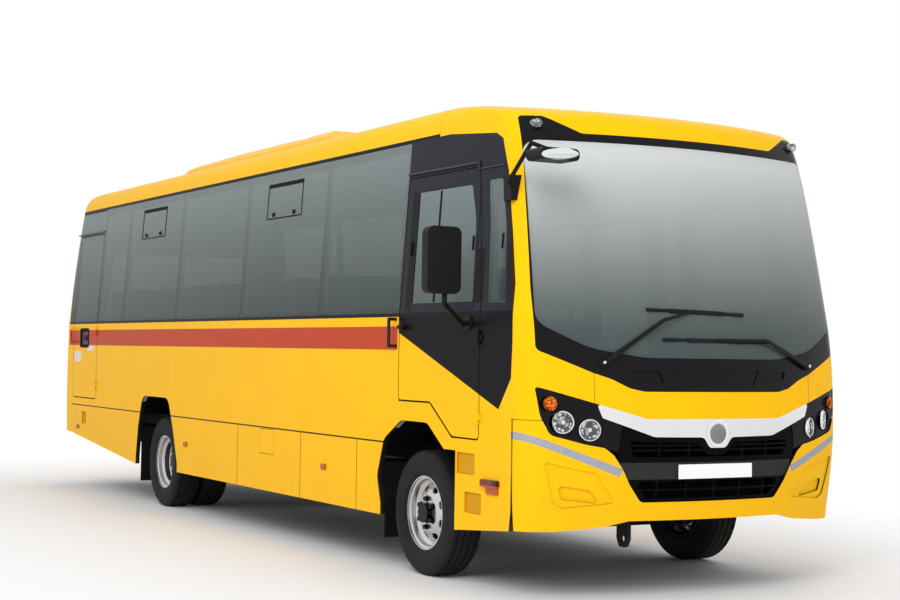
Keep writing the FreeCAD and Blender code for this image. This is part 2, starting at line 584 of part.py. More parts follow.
def build_frame():
    """Ladder frame: two channel rails, cross members, and the spring hangers under them."""
    low = RAIL_TOP_Z - RAIL_DEPTH
    half = RAIL_WIDTH / 2
    channel = box((RAIL_REAR_X, RAIL_FRONT_X), (RAIL_Y - half, RAIL_Y + half), (low, RAIL_TOP_Z)).cut(
        box((RAIL_REAR_X, RAIL_FRONT_X), (RAIL_Y - half, RAIL_Y + half - RAIL_WALL),
            (low + RAIL_WALL, RAIL_TOP_Z - RAIL_WALL)))
    pieces = [channel, mirror(channel)]
    members = [RAIL_REAR_X + 60, REAR_AXLE_X - 820, REAR_AXLE_X + 820, 100, SHAFT_HANGER_X, SHAFT_NOTCH_X, RAIL_FRONT_X - 60]
    for x in members:
        bar = box((x - 40, x + 40), (-RAIL_Y - half + RAIL_WALL, RAIL_Y + half - RAIL_WALL),
                  (low + RAIL_WALL, RAIL_TOP_Z - RAIL_WALL))
        bar = bar.cut(bar.translated(V(RAIL_WALL, 0, -RAIL_WALL)).common(bar))
        if x == SHAFT_NOTCH_X:
            bar = bar.cut(box((x - 50, x + 50), (-SHAFT_R - 25, SHAFT_R + 25), (low, low + SHAFT_R * 1.8)))
        pieces.append(bar)
    for axle_x in (FRONT_AXLE_X, REAR_AXLE_X):
        for end in (-SPRING_HALF - 10, SPRING_HALF - 30):
            for side in (-1, 1):
                y = side * SPRING_Y
                pieces.append(box((axle_x + end, axle_x + end + 40), (y - half, y + half), (SPRING_EYE_Z - 30, low)))
    for x, eye_z in ((RAIL_FRONT_X - 40, TOW_EYE_FRONT_Z), (RAIL_REAR_X + 40, TOW_EYE_REAR_Z)):
        face = -RAIL_Y - half
        plate = prism([(x - 60, low + 50, 0), (x - 60, eye_z, 0), (x - 35, eye_z - 50, 30), (x + 35, eye_z - 50, 30),
                       (x + 60, eye_z, 0), (x + 60, low + 50, 0)], "y", face, face + TOW_PLATE)
        pieces.append(plate.cut(Part.makeCylinder(TOW_EYE_R, 3 * TOW_PLATE, V(x, face - TOW_PLATE, eye_z), V(0, 1, 0))))
    return fuse(pieces)


def build_springs():
    """Leaf spring packs over the axles, with their clamps."""
    packs = []
    for axle_x, seat in ((FRONT_AXLE_X, AXLE_BEAM_TOP), (REAR_AXLE_X, AXLE_Z + AXLE_TUBE_R)):
        reach = SPRING_HALF - 30 - SEAT_GAP
        rise = SPRING_EYE_Z - seat - SPRING_STACK
        leaf = Part.Wire([Part.Arc(V(-reach, 0, rise), V(0, 0, 0), V(reach, 0, rise)).toShape(),
                          Part.LineSegment(V(reach, 0, rise), V(reach, 0, rise + 12)).toShape(),
                          Part.Arc(V(reach, 0, rise + 12), V(0, 0, 14), V(-reach, 0, rise + 12)).toShape(),
                          Part.LineSegment(V(-reach, 0, rise + 12), V(-reach, 0, rise)).toShape()])
        main = Part.Face(leaf).extrude(V(0, SPRING_WIDTH, 0))
        stack = [main.translated(V(0, 0, SPRING_STACK - 14))]
        for i in range(1, 4):
            short = reach * (1 - i * 0.22)
            stack.append(main.common(box((-short, short), (0, SPRING_WIDTH), (-50, 500))).translated(
                V(0, 0, SPRING_STACK - 14 - i * 13.8)))
        stack.append(box((-60, 60), (-8, SPRING_WIDTH + 8), (0, SPRING_STACK + 14)))
        pack = fuse(stack).translated(V(axle_x, SPRING_Y - SPRING_WIDTH / 2, seat + SEAT_GAP))
        packs += [pack, mirror(pack)]
    return Part.makeCompound(packs)


def build_front_axle():
    """Dropped beam between the two kingpin bosses."""
    end, boss = KINGPIN_Y, BOSS_HALF
    left = [(0, AXLE_BEAM_TOP - 90, 0), (SPRING_Y + 120, AXLE_BEAM_TOP - 90, 60), (end - 90, AXLE_Z - boss, 40),
            (end, AXLE_Z - boss, 0), (end, AXLE_Z + boss, 0), (end - 100, AXLE_Z + boss, 30),
            (SPRING_Y + 80, AXLE_BEAM_TOP, 30), (0, AXLE_BEAM_TOP, 0)]
    half = prism(left, "x", FRONT_AXLE_X - 32, FRONT_AXLE_X + 32)
    knob = Part.makeCylinder(KINGPIN_BOSS_R, 2 * boss, V(FRONT_AXLE_X, end, AXLE_Z - boss))
    bore = Part.makeCylinder(KINGPIN_R + SEAT_GAP, 4 * boss, V(FRONT_AXLE_X, end, AXLE_Z - 2 * boss))
    half = half.fuse(knob).cut(bore)
    return fuse([half, mirror(half)])


def build_knuckle():
    """Right steering knuckle: yoke round the beam's boss, kingpin, stub axle and steering arm."""
    x, y, boss = FRONT_AXLE_X, -KINGPIN_Y, BOSS_HALF
    outer = box((x - 38, x + 38), (y - 62, y + 34), (AXLE_Z - boss - 36, AXLE_Z + boss + 36))
    gap = box((x - 38, x + 38), (y - 39, y + 34), (AXLE_Z - boss - SEAT_GAP, AXLE_Z + boss + SEAT_GAP))
    pin = rod(V(x, y, AXLE_Z - boss - 40), V(x, y, AXLE_Z + boss + 40), KINGPIN_R)
    stub = rod(V(x, y - 50, AXLE_Z), V(x, -FRONT_TYRE_Y - TYRE_WIDTH / 2 + 46, AXLE_Z), STUB_R)
    arm = box((x - 190, x - 30), (y - 8, y + 20), (AXLE_Z - boss - 36, AXLE_Z - boss - 14))
    return fuse([outer.cut(gap), pin, stub, arm])


def build_rear_axle():
    """Driven axle: differential casing, tubes, spring seats and the spindles of the twin wheels."""
    reach = REAR_OUTER_Y - DUAL_SPACING / 2 + 120
    half_tube = REAR_OUTER_Y - DUAL_SPACING - 140
    tube = rod(V(REAR_AXLE_X, -half_tube, AXLE_Z), V(REAR_AXLE_X, half_tube, AXLE_Z), AXLE_TUBE_R)
    spindle = rod(V(REAR_AXLE_X, -reach, AXLE_Z), V(REAR_AXLE_X, reach, AXLE_Z), STUB_R)
    casing = Part.makeSphere(170, V(REAR_AXLE_X, 0, AXLE_Z)).common(
        box((REAR_AXLE_X - 170, REAR_AXLE_X + 170), (-130, 130), (0, 900)))
    nose = Part.makeCone(95, 55, 230, V(REAR_AXLE_X, 0, AXLE_Z), V(1, 0, 0))
    seats = [box((REAR_AXLE_X - 55, REAR_AXLE_X + 55), (s * SPRING_Y - 36, s * SPRING_Y + 36),
                 (AXLE_Z, AXLE_Z + AXLE_TUBE_R)) for s in (-1, 1)]
    return fuse([tube, spindle, casing, nose] + seats)


def build_driveline():
    """Propeller shaft in two lengths with its centre bearing."""
    start = V(ENGINE_REAR_X + 20, 0, ENGINE_Z[0] + 112)
    middle = V(SHAFT_HANGER_X, 0, 560)
    end = V(REAR_AXLE_X + 210, 0, AXLE_Z - 1)
    span = (REAR_AXLE_X + 230 + SEAT_GAP, ENGINE_REAR_X - SEAT_GAP)
    shafts = fuse([rod(start, middle, SHAFT_R), rod(middle, end, SHAFT_R)]).common(box(span, (-100, 100), (0, 1000)))
    web_x = SHAFT_HANGER_X - 40 + RAIL_WALL + SEAT_GAP
    hanger = box((web_x, web_x + 40), (-60, 60), (500, RAIL_TOP_Z - 2 * RAIL_WALL - SEAT_GAP))
    return fuse([shafts, hanger])


# Cab and saloon
ENGINE_REAR_X = 3120.0
ENGINE_FRONT_X = 3900.0
ENGINE_Z = (620.0, 1220.0)
ENGINE_HALF = 290.0
COVER_HALF = 345.0
COVER_TOP_Z = 1360.0
DASH_REAR_X = 3960.0
DASH_Z = (1060.0, 1410.0)
DRIVER_Y = -560.0
ROW_PITCH = 720.0
RIGHT_ROWS_X = -3350.0
LEFT_ROWS_X = -4070.0
ROWS = 8
BENCH_Y = (330.0, 1120.0)
CUSHION_Z = (1290.0, 1380.0)
CUSHION_DEPTH = 420.0
BACK_TOP_Z = 1980.0
STEP_Z = (400.0, 650.0)
STEP_Y = (600.0, 860.0)
HOUSING_IN_Y = 700.0


def wheel_housing(points, axle_x):
    """Closed box over a wheel arch, inside the right wall."""
    opening = arch(points, axle_x)
    hood = prism(opening, "y", -HALF_WIDTH + SHELL + SEAT_GAP, -HOUSING_IN_Y, SEAM).cut(
        prism(opening, "y", -HALF_WIDTH, -HOUSING_IN_Y - SEAM))
    return hood.common(box((axle_x - 700, axle_x + 700), (-HALF_WIDTH, 0), (RAIL_TOP_Z - 20, 1100)))


def build_floor(inside):
    """Floor plate on bearers, open over the wheels, the engine and the entrance steps."""
    plate = inside.common(box((REAR_SEAM_X - 100, 4100), (-OUT_Y, OUT_Y), (FLOOR_TOP_Z - FLOOR_PLATE, FLOOR_TOP_Z)))
    bearers = [box((x - 30, x + 30), (-1100, 1100), (RAIL_TOP_Z + SEAT_GAP, FLOOR_TOP_Z - FLOOR_PLATE))
               for x in (-4300, -3600, -3000, -900, 100, 900, 2350, 4050)]
    floor = fuse([plate] + bearers)
    holes = [prism(arch(points, axle_x), "y", -HALF_WIDTH, -HOUSING_IN_Y - SEAM)
             for points, axle_x in ((FRONT_ARCH, FRONT_AXLE_X), (REAR_ARCH, REAR_AXLE_X))]
    floor = floor.cut(Part.makeCompound([both(hole) for hole in holes]))
    well = box((PASSENGER_REAR_X - 25, PASSENGER_FRONT_X + 25), (STEP_Y[0] - 10, OUT_Y), (0, 2000))
    bay = box((ENGINE_REAR_X - 20, DASH_REAR_X - 20), (-COVER_HALF + 25, COVER_HALF - 25), (0, 2000))
    hoods = [both(wheel_housing(points, axle_x))
             for points, axle_x in ((FRONT_ARCH, FRONT_AXLE_X), (REAR_ARCH, REAR_AXLE_X))]
    return fuse([floor.cut(well).cut(bay)] + [hood for pair in hoods for hood in pair.Solids])


def build_steps():
    """Two treads with their risers and cheeks in the entrance."""
    wall_y = HALF_WIDTH - SHELL - DOOR_GAP
    x = (PASSENGER_REAR_X - 25, PASSENGER_FRONT_X + 25)
    inner_y = STEP_Y[0] - 10
    pieces = [box(x, (STEP_Y[1] - 10, wall_y), (STEP_Z[0] - 12, STEP_Z[0])),
              box(x, (STEP_Y[1] - 10, STEP_Y[1]), (STEP_Z[0] - 12, STEP_Z[1])),
              box(x, (inner_y, STEP_Y[1]), (STEP_Z[1] - 12, STEP_Z[1])),
              box(x, (inner_y, inner_y + 10), (STEP_Z[1] - 12, FLOOR_TOP_Z))]
    for start in (x[0], x[1] - 8):
        cheek = [(inner_y, STEP_Z[1] - 12, 0), (STEP_Y[1] - 10, STEP_Z[1] - 12, 0),
                 (STEP_Y[1] - 10, STEP_Z[0] - 12, 0), (wall_y, STEP_Z[0] - 12, 0), (wall_y, FLOOR_TOP_Z, 0),
                 (inner_y, FLOOR_TOP_Z, 0)]
        pieces.append(prism(cheek, "x", start, start + 8))
    return fuse(pieces)


def build_bench(x, left):
    """Seat pads and frame of one double bench that faces forward."""
    y = BENCH_Y
    cushion = prism(cross_rect((x, x + CUSHION_DEPTH), CUSHION_Z, 35), "y", *y)
    back = prism([(x - 40, CUSHION_Z[1] - 60, 20), (x + 40, CUSHION_Z[1] - 60, 20), (x - 20, BACK_TOP_Z, 35),
                  (x - 110, BACK_TOP_Z, 35)], "y", *y).translated(V(-45, 0, 0))
    wall_y = HALF_WIDTH - SHELL - SEAT_GAP
    frame_z = CUSHION_Z[0] - SEAT_GAP
    tray = box((x - 70, x + CUSHION_DEPTH - 30), (y[0] + 20, wall_y), (frame_z - 30, frame_z)).cut(
        box((x + 20, x + CUSHION_DEPTH - 70), (y[0] + 60, y[1] - 20), (frame_z - 30, frame_z)))
    legs = [box((x + a, x + a + 35), (y[0] + 60, y[0] + 95), (FLOOR_TOP_Z + SEAT_GAP, frame_z))
            for a in (20, CUSHION_DEPTH - 90)]
    foot = box((x, x + CUSHION_DEPTH - 40), (y[0] + 50, y[0] + 105), (FLOOR_TOP_Z + SEAT_GAP, FLOOR_TOP_Z + 12))
    stay = prism([(x - 70, frame_z, 0), (x - 125, BACK_TOP_Z - 80, 0), (x - 155, BACK_TOP_Z - 80, 0),
                  (x - 128, frame_z - 30, 0), (x - 60, frame_z - 30, 0)], "y", y[0] + 40, y[0] + 70)
    stays = [stay, stay.translated(V(0, y[1] - y[0] - 110, 0))]
    frame = fuse([tray, foot] + legs + stays).cut(back).cut(cushion)
    pads = [cushion.cut(back), back.translated(V(0, 0, SEAT_GAP))]
    pads[0] = cushion.cut(pads[1])
    pieces = (Part.makeCompound(pads), frame)
    return pieces if left else tuple(mirror(piece) for piece in pieces)


def build_cab(inside):
    """Dashboard, engine cover, steering wheel with its column, and the driver's seat."""
    dash = [(DASH_REAR_X, DASH_Z[0], 30), (4150, DASH_Z[0], 0), (4300, 1215, 0), (NOSE_X, 1215, 0),
            (NOSE_X, DASH_Z[1], 0),
            (DASH_REAR_X + 60, DASH_Z[1], 60), (DASH_REAR_X, DASH_Z[1] - 110, 40)]
    top = inside.common(prism(dash, "y", -OUT_Y, OUT_Y))
    cowl = prism([(DASH_REAR_X + 20, DASH_Z[1] - 60, 0), (DASH_REAR_X + 200, DASH_Z[1] - 60, 0),
                  (DASH_REAR_X + 200, DASH_Z[1] + 20, 20), (DASH_REAR_X + 60, DASH_Z[1] + 70, 30)], "y",
                 DRIVER_Y - 210, DRIVER_Y + 210)
    stands = inside.common(both(box((DASH_REAR_X + 40, 4090), (990, 1060), (FLOOR_TOP_Z + SEAT_GAP, DASH_Z[0] + 10))))
    dashboard = fuse([top, cowl, stands])
    cover_x = (ENGINE_REAR_X - 60, DASH_REAR_X - SEAT_GAP)
    hood = [(-COVER_HALF, FLOOR_TOP_Z + SEAT_GAP, 0), (COVER_HALF, FLOOR_TOP_Z + SEAT_GAP, 0),
            (COVER_HALF, COVER_TOP_Z - 80, 60), (COVER_HALF - 80, COVER_TOP_Z, 60),
            (80 - COVER_HALF, COVER_TOP_Z, 60), (-COVER_HALF, COVER_TOP_Z - 80, 60)]
    cover = prism(hood, "x", *cover_x).cut(
        prism([(u * 0.93, v - 22 if v > 1000 else v - 10, r) for u, v, r in hood], "x", cover_x[0] + 22, cover_x[1]))
    centre = V(3535, DRIVER_Y, 1640)
    column = V(0.55, 0, -0.835)
    foot = centre + column * ((centre.z - FLOOR_TOP_Z) / -column.z)
    rim = Part.makeTorus(225, 16, centre, column)
    spokes = [Part.makeCylinder(11, 222, centre, V(0, 1, 0)).rotated(centre, column, a) for a in (0, 120, 240)]
    boss = Part.makeCylinder(55, 50, centre - column * 15, column)
    shaft = rod(centre, foot + column * 40, 24)
    below = box((3000, NOSE_X), (-OUT_Y, OUT_Y), (0, FLOOR_TOP_Z + SEAT_GAP))
    wheel = fuse([rim, boss, shaft] + spokes).cut(below)
    y = DRIVER_Y
    plinth = box((2900, 3240), (y - 120, y + 170), (FLOOR_TOP_Z + SEAT_GAP, 1260))
    base = prism(cross_rect((2860, 3330), (1240, 1360), 30), "y", y - 225, y + 205)
    back = prism([(2805, 1300, 20), (2910, 1300, 20), (2800, 2010, 30), (2690, 2010, 30)], "y", y - 225, y + 225)
    rest = prism([(2712, 1960, 0), (2784, 1960, 0), (2756, 2190, 30), (2676, 2190, 30)], "y", y - 130, y + 130)
    seat = fuse([plinth, base, back, rest])
    return dashboard, cover, wheel, seat


def build_roof_unit():
    """Two-humped unit on the roof, seated on the crown."""
    side = [(-2560, CANT_Z + 180, 0), (-2300, CANT_Z + 330, 120), (-1500, CANT_Z + 375, 400),
            (-120, CANT_Z + 372, 120), (10, CANT_Z + 352, 120), (200, CANT_Z + 378, 120), (560, CANT_Z + 372, 200),
            (1120, CANT_Z + 180, 0)]
    cross = [(-790, CANT_Z + 180, 0), (790, CANT_Z + 180, 0), (740, CANT_Z + 300, 90), (560, CANT_Z + 385, 150),
             (-560, CANT_Z + 385, 150), (-740, CANT_Z + 300, 90)]
    unit = prism(side, "y", -900, 900).common(prism(cross, "x", -2700, 1300))
    return unit.cut(OUTER)


def build_mirror(foot, head):
    """Right outer mirror: foot on the panel, bent arm and housing."""
    reach = V(head.x, head.y + 20, head.z - 260)
    elbow = V(foot.x + 20, foot.y - 60, foot.z - 10)
    arm = fuse(pipe_run([foot, elbow, reach, V(head.x, head.y + 20, head.z)], MIRROR_ARM_R))
    shell = prism(cross_rect((head.y - 115, head.y + 115), (head.z - 200, head.z + 200), 45), "x",
                  head.x - 40, head.x + 30)
    plate = Part.makeCylinder(42, 14, foot, V(0, -1, 0))
    return fuse([arm, shell, plate]).cut(box((foot.x - 200, foot.x + 200), (foot.y, 0), (foot.z - 200, foot.z + 200)))


def build_high_mirror():
    """Small mirror carried out in front of the right windscreen pillar."""
    bends = [V(4130, -1115, 2400), V(4190, -1195, 2440), V(4400, -1180, 2640), V(4500, -1100, 2590)]
    head = prism(cross_rect((-1230, -966), (2530, 2600), 30), "x", 4420, 4580)
    bracket = box((4085, 4165), (-1168, -1080), (2330, 2480))
    return fuse(pipe_run(bends, 13) + [head, bracket]).cut(OUTER)


def build_wiper(pivot_y, knee, tip_a, tip_b):
    """One wiper: spindle, arm and blade in front of the screen."""
    def on_screen(y, z, proud):
        ray = Part.makeLine(V(3600, y, z), V(NOSE_X + 100, y, z))
        return V(OUTER.common(ray).BoundBox.XMax + proud, y, z)
    pivot = on_screen(pivot_y, 1376, 0)
    root = pivot + V(30, 0, 0)
    knee, tip_a, tip_b = on_screen(*knee, 30), on_screen(*tip_a, 18), on_screen(*tip_b, 18)
    pieces = [rod(pivot - V(6, 0, 0), root, 16), rod(root, knee, 8), Part.makeSphere(8, root)]
    pieces += [rod(tip_a, tip_b, 8), rod(knee, (tip_a + tip_b) / 2, 7)]
    return fuse(pieces).cut(OUTER)


def pipe_run(points, radius):
    """Pipe through a list of points, with a ball at each bend."""
    pieces = [rod(a, b, radius) for a, b in zip(points[:-1], points[1:])]
    return pieces + [Part.makeSphere(radius, bend) for bend in points[1:-1]]


def build_tank():
    """Fuel tank beside the right rail, with its straps."""
    face = -RAIL_Y - RAIL_WIDTH / 2 - SEAT_GAP
    tank = prism(cross_rect((-1080, face - 60), (400, 700), 60), "x", 330, 1130)
    straps = [box((x - 25, x + 25), (face - 80, face), (600, 690)) for x in (470, 990)]
    return fuse([tank] + straps)


def build_exhaust():
    """Silencer beside the left rail, pipe from the engine and tail pipe."""
    y, z = RAIL_Y + 135, 520
    silencer = Part.makeCylinder(95, 700, V(-400, y, z), V(1, 0, 0))
    lead = [V(300, y, z), V(700, 530, 500), V(2150, 530, 500), V(2380, 230, 540), V(ENGINE_REAR_X + 10, 200, 702)]
    tail = [V(-400, y, z), V(-900, y, 480), V(-1180, y, 440)]
    face = RAIL_Y + RAIL_WIDTH / 2 + SEAT_GAP
    straps = [box((x - 15, x + 15), (face, y - 20), (560, 700)) for x in (-300, 200)]
    system = fuse([silencer] + pipe_run(lead, 32) + pipe_run(tail, 32) + straps)
    return system.cut(box((ENGINE_REAR_X - SEAT_GAP, NOSE_X), (0, 400), (500, 900)))


def build_mud_flaps():
    """Flaps behind the wheels on bars from the frame rails."""
    flaps = []
    for x in (FRONT_AXLE_X - 508, REAR_AXLE_X - 525):
        flap = box((x - 4, x + 4), (610, HALF_WIDTH - SHELL - 6), (190, 640))
        bar = box((x - 30, x - 4), (RAIL_Y + RAIL_WIDTH / 2 + SEAT_GAP, HALF_WIDTH - SHELL - 6), (660, 690))
        hook = box((x - 12, x + 4), (610, HALF_WIDTH - SHELL - 6), (630, 690))
        flaps.append(fuse([flap, bar, hook]))
    return both(Part.makeCompound(flaps))


def handle(a, b, reach, radius=11):
    """Bent bar handle between two feet on the right side."""
    out = V(0, -reach, 0)
    grip = [a, a + out, b + out, b]
    return fuse([rod(p, q, radius) for p, q in zip(grip[:-1], grip[1:])]
                + [Part.makeSphere(radius, corner) for corner in grip[1:3]])


def build_grab_handles():
    """Handles on the body beside the driver's and the passenger door."""
    face = -HALF_WIDTH - SEAT_GAP
    entrance = PASSENGER_REAR_X - 70
    return Part.makeCompound([handle(V(2790, face, 1466), V(2790, face, 1642), 55),
                              mirror(handle(V(entrance, face, 1150), V(entrance, face, 1560), 60))])


def build_rails(inside_top_z):
    """Passenger grab rails under the roof and the posts at the entrance."""
    pieces = []
    for y in (-300, 300):
        pieces.append(rod(V(-3900, y, inside_top_z - 280), V(2300, y, inside_top_z - 280), 16))
        for x in (-3200, -1700, -200, 1300, 2280):
            pieces.append(rod(V(x, y, inside_top_z - 280), V(x, y, inside_top_z), 12))
    pieces.append(rod(V(1560, 300, FLOOR_TOP_Z + SEAT_GAP), V(1560, 300, inside_top_z), 16))
    return fuse(pieces[:6]), fuse(pieces[6:])


def on_face(y, z, side=1):
    """Point of the body's front or rear surface straight ahead of a (y, z) place."""
    ray = Part.makeLine(V(0, y, z), V(side * (LENGTH / 2 + 100), y, z))
    hit = OUTER.common(ray).BoundBox
    return V(hit.XMax if side > 0 else hit.XMin, y, z)


def build_marker_lamps():
    """Side markers, side indicators, clearance lamps and the tail lamps."""
    face = -HALF_WIDTH - SEAT_GAP
    lamps = []
    for x, z in ((1720, 602), (-1067, 602), (-4197, 608)):
        lamps.append(prism(cross_rect((x - 35, x + 35), (z - 20, z + 20), 8), "y", face - 14, face))
    lamps.append(fuse([prism(cross_rect((3932, 4118), (638, 683), 12), "y", face - 24, face),
                       prism(cross_rect((3982, 4110), (597, 645), 8), "y", face - 12, face)]))
    for z in (860, 1000, 1140):
        spot = on_face(-930, z, -1)
        lamps.append(Part.makeCylinder(58, 60, spot + V(25, 0, 0), V(-1, 0, 0)).cut(OUTER))
    spot = on_face(-985, 2800)
    lamps.append(Part.makeCylinder(26, 70, spot - V(30, 0, 0), V(1, 0, 0)).cut(OUTER))
    return both(Part.makeCompound(lamps))


def export(name, *shapes):
    """Write one named piece, as one solid or as solids that stand apart."""
    solids = [solid.translated(V(-MIDDLE_X, 0, 0)) for shape in shapes for solid in shape.Solids]
    shape = solids[0] if len(solids) == 1 else Part.makeCompound(solids)
    shape.exportStep("parts/" + name + ".step")
    print(f"{name:22s} solids {len(solids):3d} faces {len(shape.Faces):4d} valid {shape.isValid()}")


def main():
    """Build every piece of the bus and write it."""
    right_region = [(REAR_SEAM_X, SKIRT_TOP_Z, 0), (3596, SKIRT_TOP_Z, 0), (3596, 905, 0), (3540, 905, 0),
                    (3255, 1107, 0), (2838, 1107, 0), (2838, CANT_Z, 0), (REAR_SEAM_X, CANT_Z, 0)]
    left_region = [(REAR_SEAM_X, SKIRT_TOP_Z, 0), (2838, SKIRT_TOP_Z, 0), (2838, CANT_Z, 0),
                   (REAR_SEAM_X, CANT_Z, 0)]
    fascia = [(x, z, 0) for x, z in FASCIA]
    corner_top = fascia + [(3336, CANT_Z, 0), (2838, CANT_Z, 0)]
    right_corner = corner_top + [(2838, 2500, 0), (3700, 2500, 0), (3700, 1000, 0), (3596, 1000, 0),
                                 (3596, SKIRT_Z, 0)]
    left_corner = corner_top + [(2838, 900, 0), (3300, 900, 0), (3300, SKIRT_Z, 0)]

    stations = list(zip(DIVIDERS[:-1], DIVIDERS[1:]))
    wall, panes = build_side_wall([EMERGENCY_DOOR, DRIVER_DOOR], stations, right_region)
    door, door_pane = build_leaf(DRIVER_DOOR, DRIVER_DOOR_GLASS)
    corner, corner_panes = build_corner(right_corner, [QUARTER_GLASS])
    corner_pressings = [pressed(recess) for recess in CORNER_RECESSES]
    corner = corner.cut(right_side(DRIVER_DOOR, DOOR_GAP)).cut(Part.makeCompound(corner_pressings))
    door, corner_right = hang(door, corner, DRIVER_DOOR_FRONT_X, DRIVER_HINGES)
    knob = handle(V(2890, -HALF_WIDTH, 1590), V(2930, -HALF_WIDTH, 1590), 30, 16)
    export("driver_door", fuse([door, knob]))
    export("driver_door_glass", door_pane)
    door, door_pane = build_leaf(EMERGENCY_DOOR, EMERGENCY_GLASS, EMERGENCY_LAP)
    door = door.cut(pressed(EMERGENCY_LATCH))
    door, wall = hang(door, wall, EMERGENCY_FRONT_X, EMERGENCY_HINGES)
    pull = handle(V(-4335, -HALF_WIDTH, 1475), V(-4335, -HALF_WIDTH, 1616), 55)
    export("emergency_door", fuse([door, pull]))
    export("emergency_door_glass", door_pane)
    export("side_wall_right", wall)

    left_stations = [(-4330, DIVIDERS[1])] + stations[1:4] + [(PASSENGER_FRONT_X + 50, 2838)]
    wall, left_panes = build_side_wall([PASSENGER_DOOR], left_stations, left_region)
    door, door_pane = build_leaf(PASSENGER_DOOR, PASSENGER_GLASS)
    door, wall = hang(door, wall, PASSENGER_FRONT_X, PASSENGER_HINGES)
    export("side_wall_left", mirror(wall))
    export("passenger_door", mirror(door))
    export("passenger_door_glass", mirror(door_pane))
    corner, left_corner_panes = build_corner(left_corner, [QUARTER_GLASS, CODRIVER_GLASS])
    export("corner_panels", corner_right, mirror(corner.cut(Part.makeCompound(corner_pressings))))
    left_side = [mirror(piece) for piece in left_panes + left_corner_panes]

    door_gap = right_side(PASSENGER_DOOR, DOOR_GAP)
    skirt = build_skirt()
    export("skirt_panels", skirt.cut(shut_line(FUEL_FLAP)), mirror(skirt.cut(door_gap)))
    above = (CANT_Z, CANT_Z + 400)
    roof = WALL.common(box((TAIL_X - 50, DOME_SEAM_X), (-OUT_Y, OUT_Y), above))
    export("roof", roof.cut(SEAM_SKIN.common(box((DOME_SEAM_X - SEAM, DOME_SEAM_X), (-OUT_Y, OUT_Y), above))))
    tail = [(TAIL_X - 50, CANT_Z, 0), (REAR_SEAM_X, CANT_Z, 0), (REAR_SEAM_X, 540, 0), (TAIL_X - 50, 562, 0)]
    rear = WALL.common(prism(tail, "y", -OUT_Y, OUT_Y))
    pane, seat, hole = (prism(REAR_WINDOW, "x", TAIL_X - 100, REAR_SEAM_X, grow)
                        for grow in (0, GLASS_EDGE, -FRAME_LAP))
    export("rear_wall", rear.cut(hole).cut(GLASS_SKIN.common(seat)))
    export("windows", *panes, *corner_panes, *left_side, GLASS_SKIN.common(pane))

    shell, bumper, flap, bar, ring, screen, lamp_panel, grille, lamps = build_front()
    for name, piece in (("front_shell", shell), ("front_bumper", bumper), ("front_flap", flap),
                        ("trim_bar", bar), ("windscreen_surround", ring), ("windscreen", screen),
                        ("headlamp_panels", lamp_panel), ("grille", grille), ("headlamps", lamps)):
        export(name, piece)

    export("chassis_frame", build_frame())
    export("leaf_springs", build_springs())
    export("front_axle", build_front_axle())
    export("rear_axle", build_rear_axle())
    export("driveline", build_driveline())
    engine = box((ENGINE_REAR_X, ENGINE_FRONT_X), (-ENGINE_HALF, ENGINE_HALF), ENGINE_Z)
    radiator = box((4120, 4190), (-330, 330), (560, 1040))
    web = RAIL_Y + RAIL_WIDTH / 2 - RAIL_WALL - SEAT_GAP
    mount = [box((x - 40, x + 40), (-web, web), (700, 740)) for x in (3200, 3800)]
    hold = box((4140, 4170), (-web, web), (700, 740))
    export("engine_block", fuse([engine] + mount), fuse([radiator, hold]))
    knuckle = build_knuckle()
    export("knuckle_right", knuckle)
    export("knuckle_left", mirror(knuckle))
    tyre = build_tyre()
    front_place = V(FRONT_AXLE_X, -FRONT_TYRE_Y, AXLE_Z)
    rear_place = V(REAR_AXLE_X, -REAR_OUTER_Y, AXLE_Z)
    front_wheel = build_front_wheel().translated(front_place)
    rear_wheel = build_rear_wheel().translated(rear_place)
    front_tyre = tyre.translated(front_place)
    rear_tyres = Part.makeCompound([tyre.translated(rear_place),
                                    tyre.translated(rear_place + V(0, DUAL_SPACING, 0))])
    for name, piece in (("wheel_front", front_wheel), ("tyre_front", front_tyre),
                        ("wheels_rear", rear_wheel), ("tyres_rear", rear_tyres)):
        export(name + "_right", piece)
        export(name + "_left", mirror(piece))

    inside = body_lofts(SHELL + SEAT_GAP)[0]
    export("floor", build_floor(inside))
    export("entrance_steps", build_steps())
    dashboard, cover, wheel, seat = build_cab(inside)
    export("dashboard", dashboard)
    export("engine_cover", cover)
    export("steering_wheel", wheel)
    export("driver_seat", seat)
    frames = []
    for side, start in (("right", RIGHT_ROWS_X), ("left", LEFT_ROWS_X)):
        benches = [build_bench(start + i * ROW_PITCH, side == "left") for i in range(ROWS)]
        export("seat_pads_" + side, *[pads for pads, frame in benches])
        frames += [frame for pads, frame in benches]
    export("seat_frames", *frames)
    export("grab_rails", *build_rails(CANT_Z + CROWN_RISE - SHELL - 1))
    export("roof_unit", build_roof_unit())
    export("fuel_tank", build_tank())
    export("exhaust", build_exhaust())
    export("mud_flaps", build_mud_flaps())
    export("grab_handles", build_grab_handles())
    export("marker_lamps", build_marker_lamps())
    export("mirror_door", build_mirror(V(3740, -HALF_WIDTH - SEAT_GAP, 1612), V(3850, -1447, 1978)))
    export("mirrors_body", mirror(build_mirror(V(3640, -HALF_WIDTH - SEAT_GAP, 1612), V(3650, -1447, 1978))),
           build_high_mirror())
    wipers = [build_wiper(-776, (-650, 1560), (-560, 1700), (-80, 1690)),
              build_wiper(776, (600, 1520), (-60, 1560), (500, 1570))]
    export("wipers", *wipers)


main()
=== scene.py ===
"""School bus: finishes for the framed CAD pieces, added detail, plain studio and camera."""

import json
import logging
import math
from dataclasses import dataclass
from enum import Enum
from typing import Callable, Iterable, Sequence

import bpy
from mathutils import Matrix, Vector

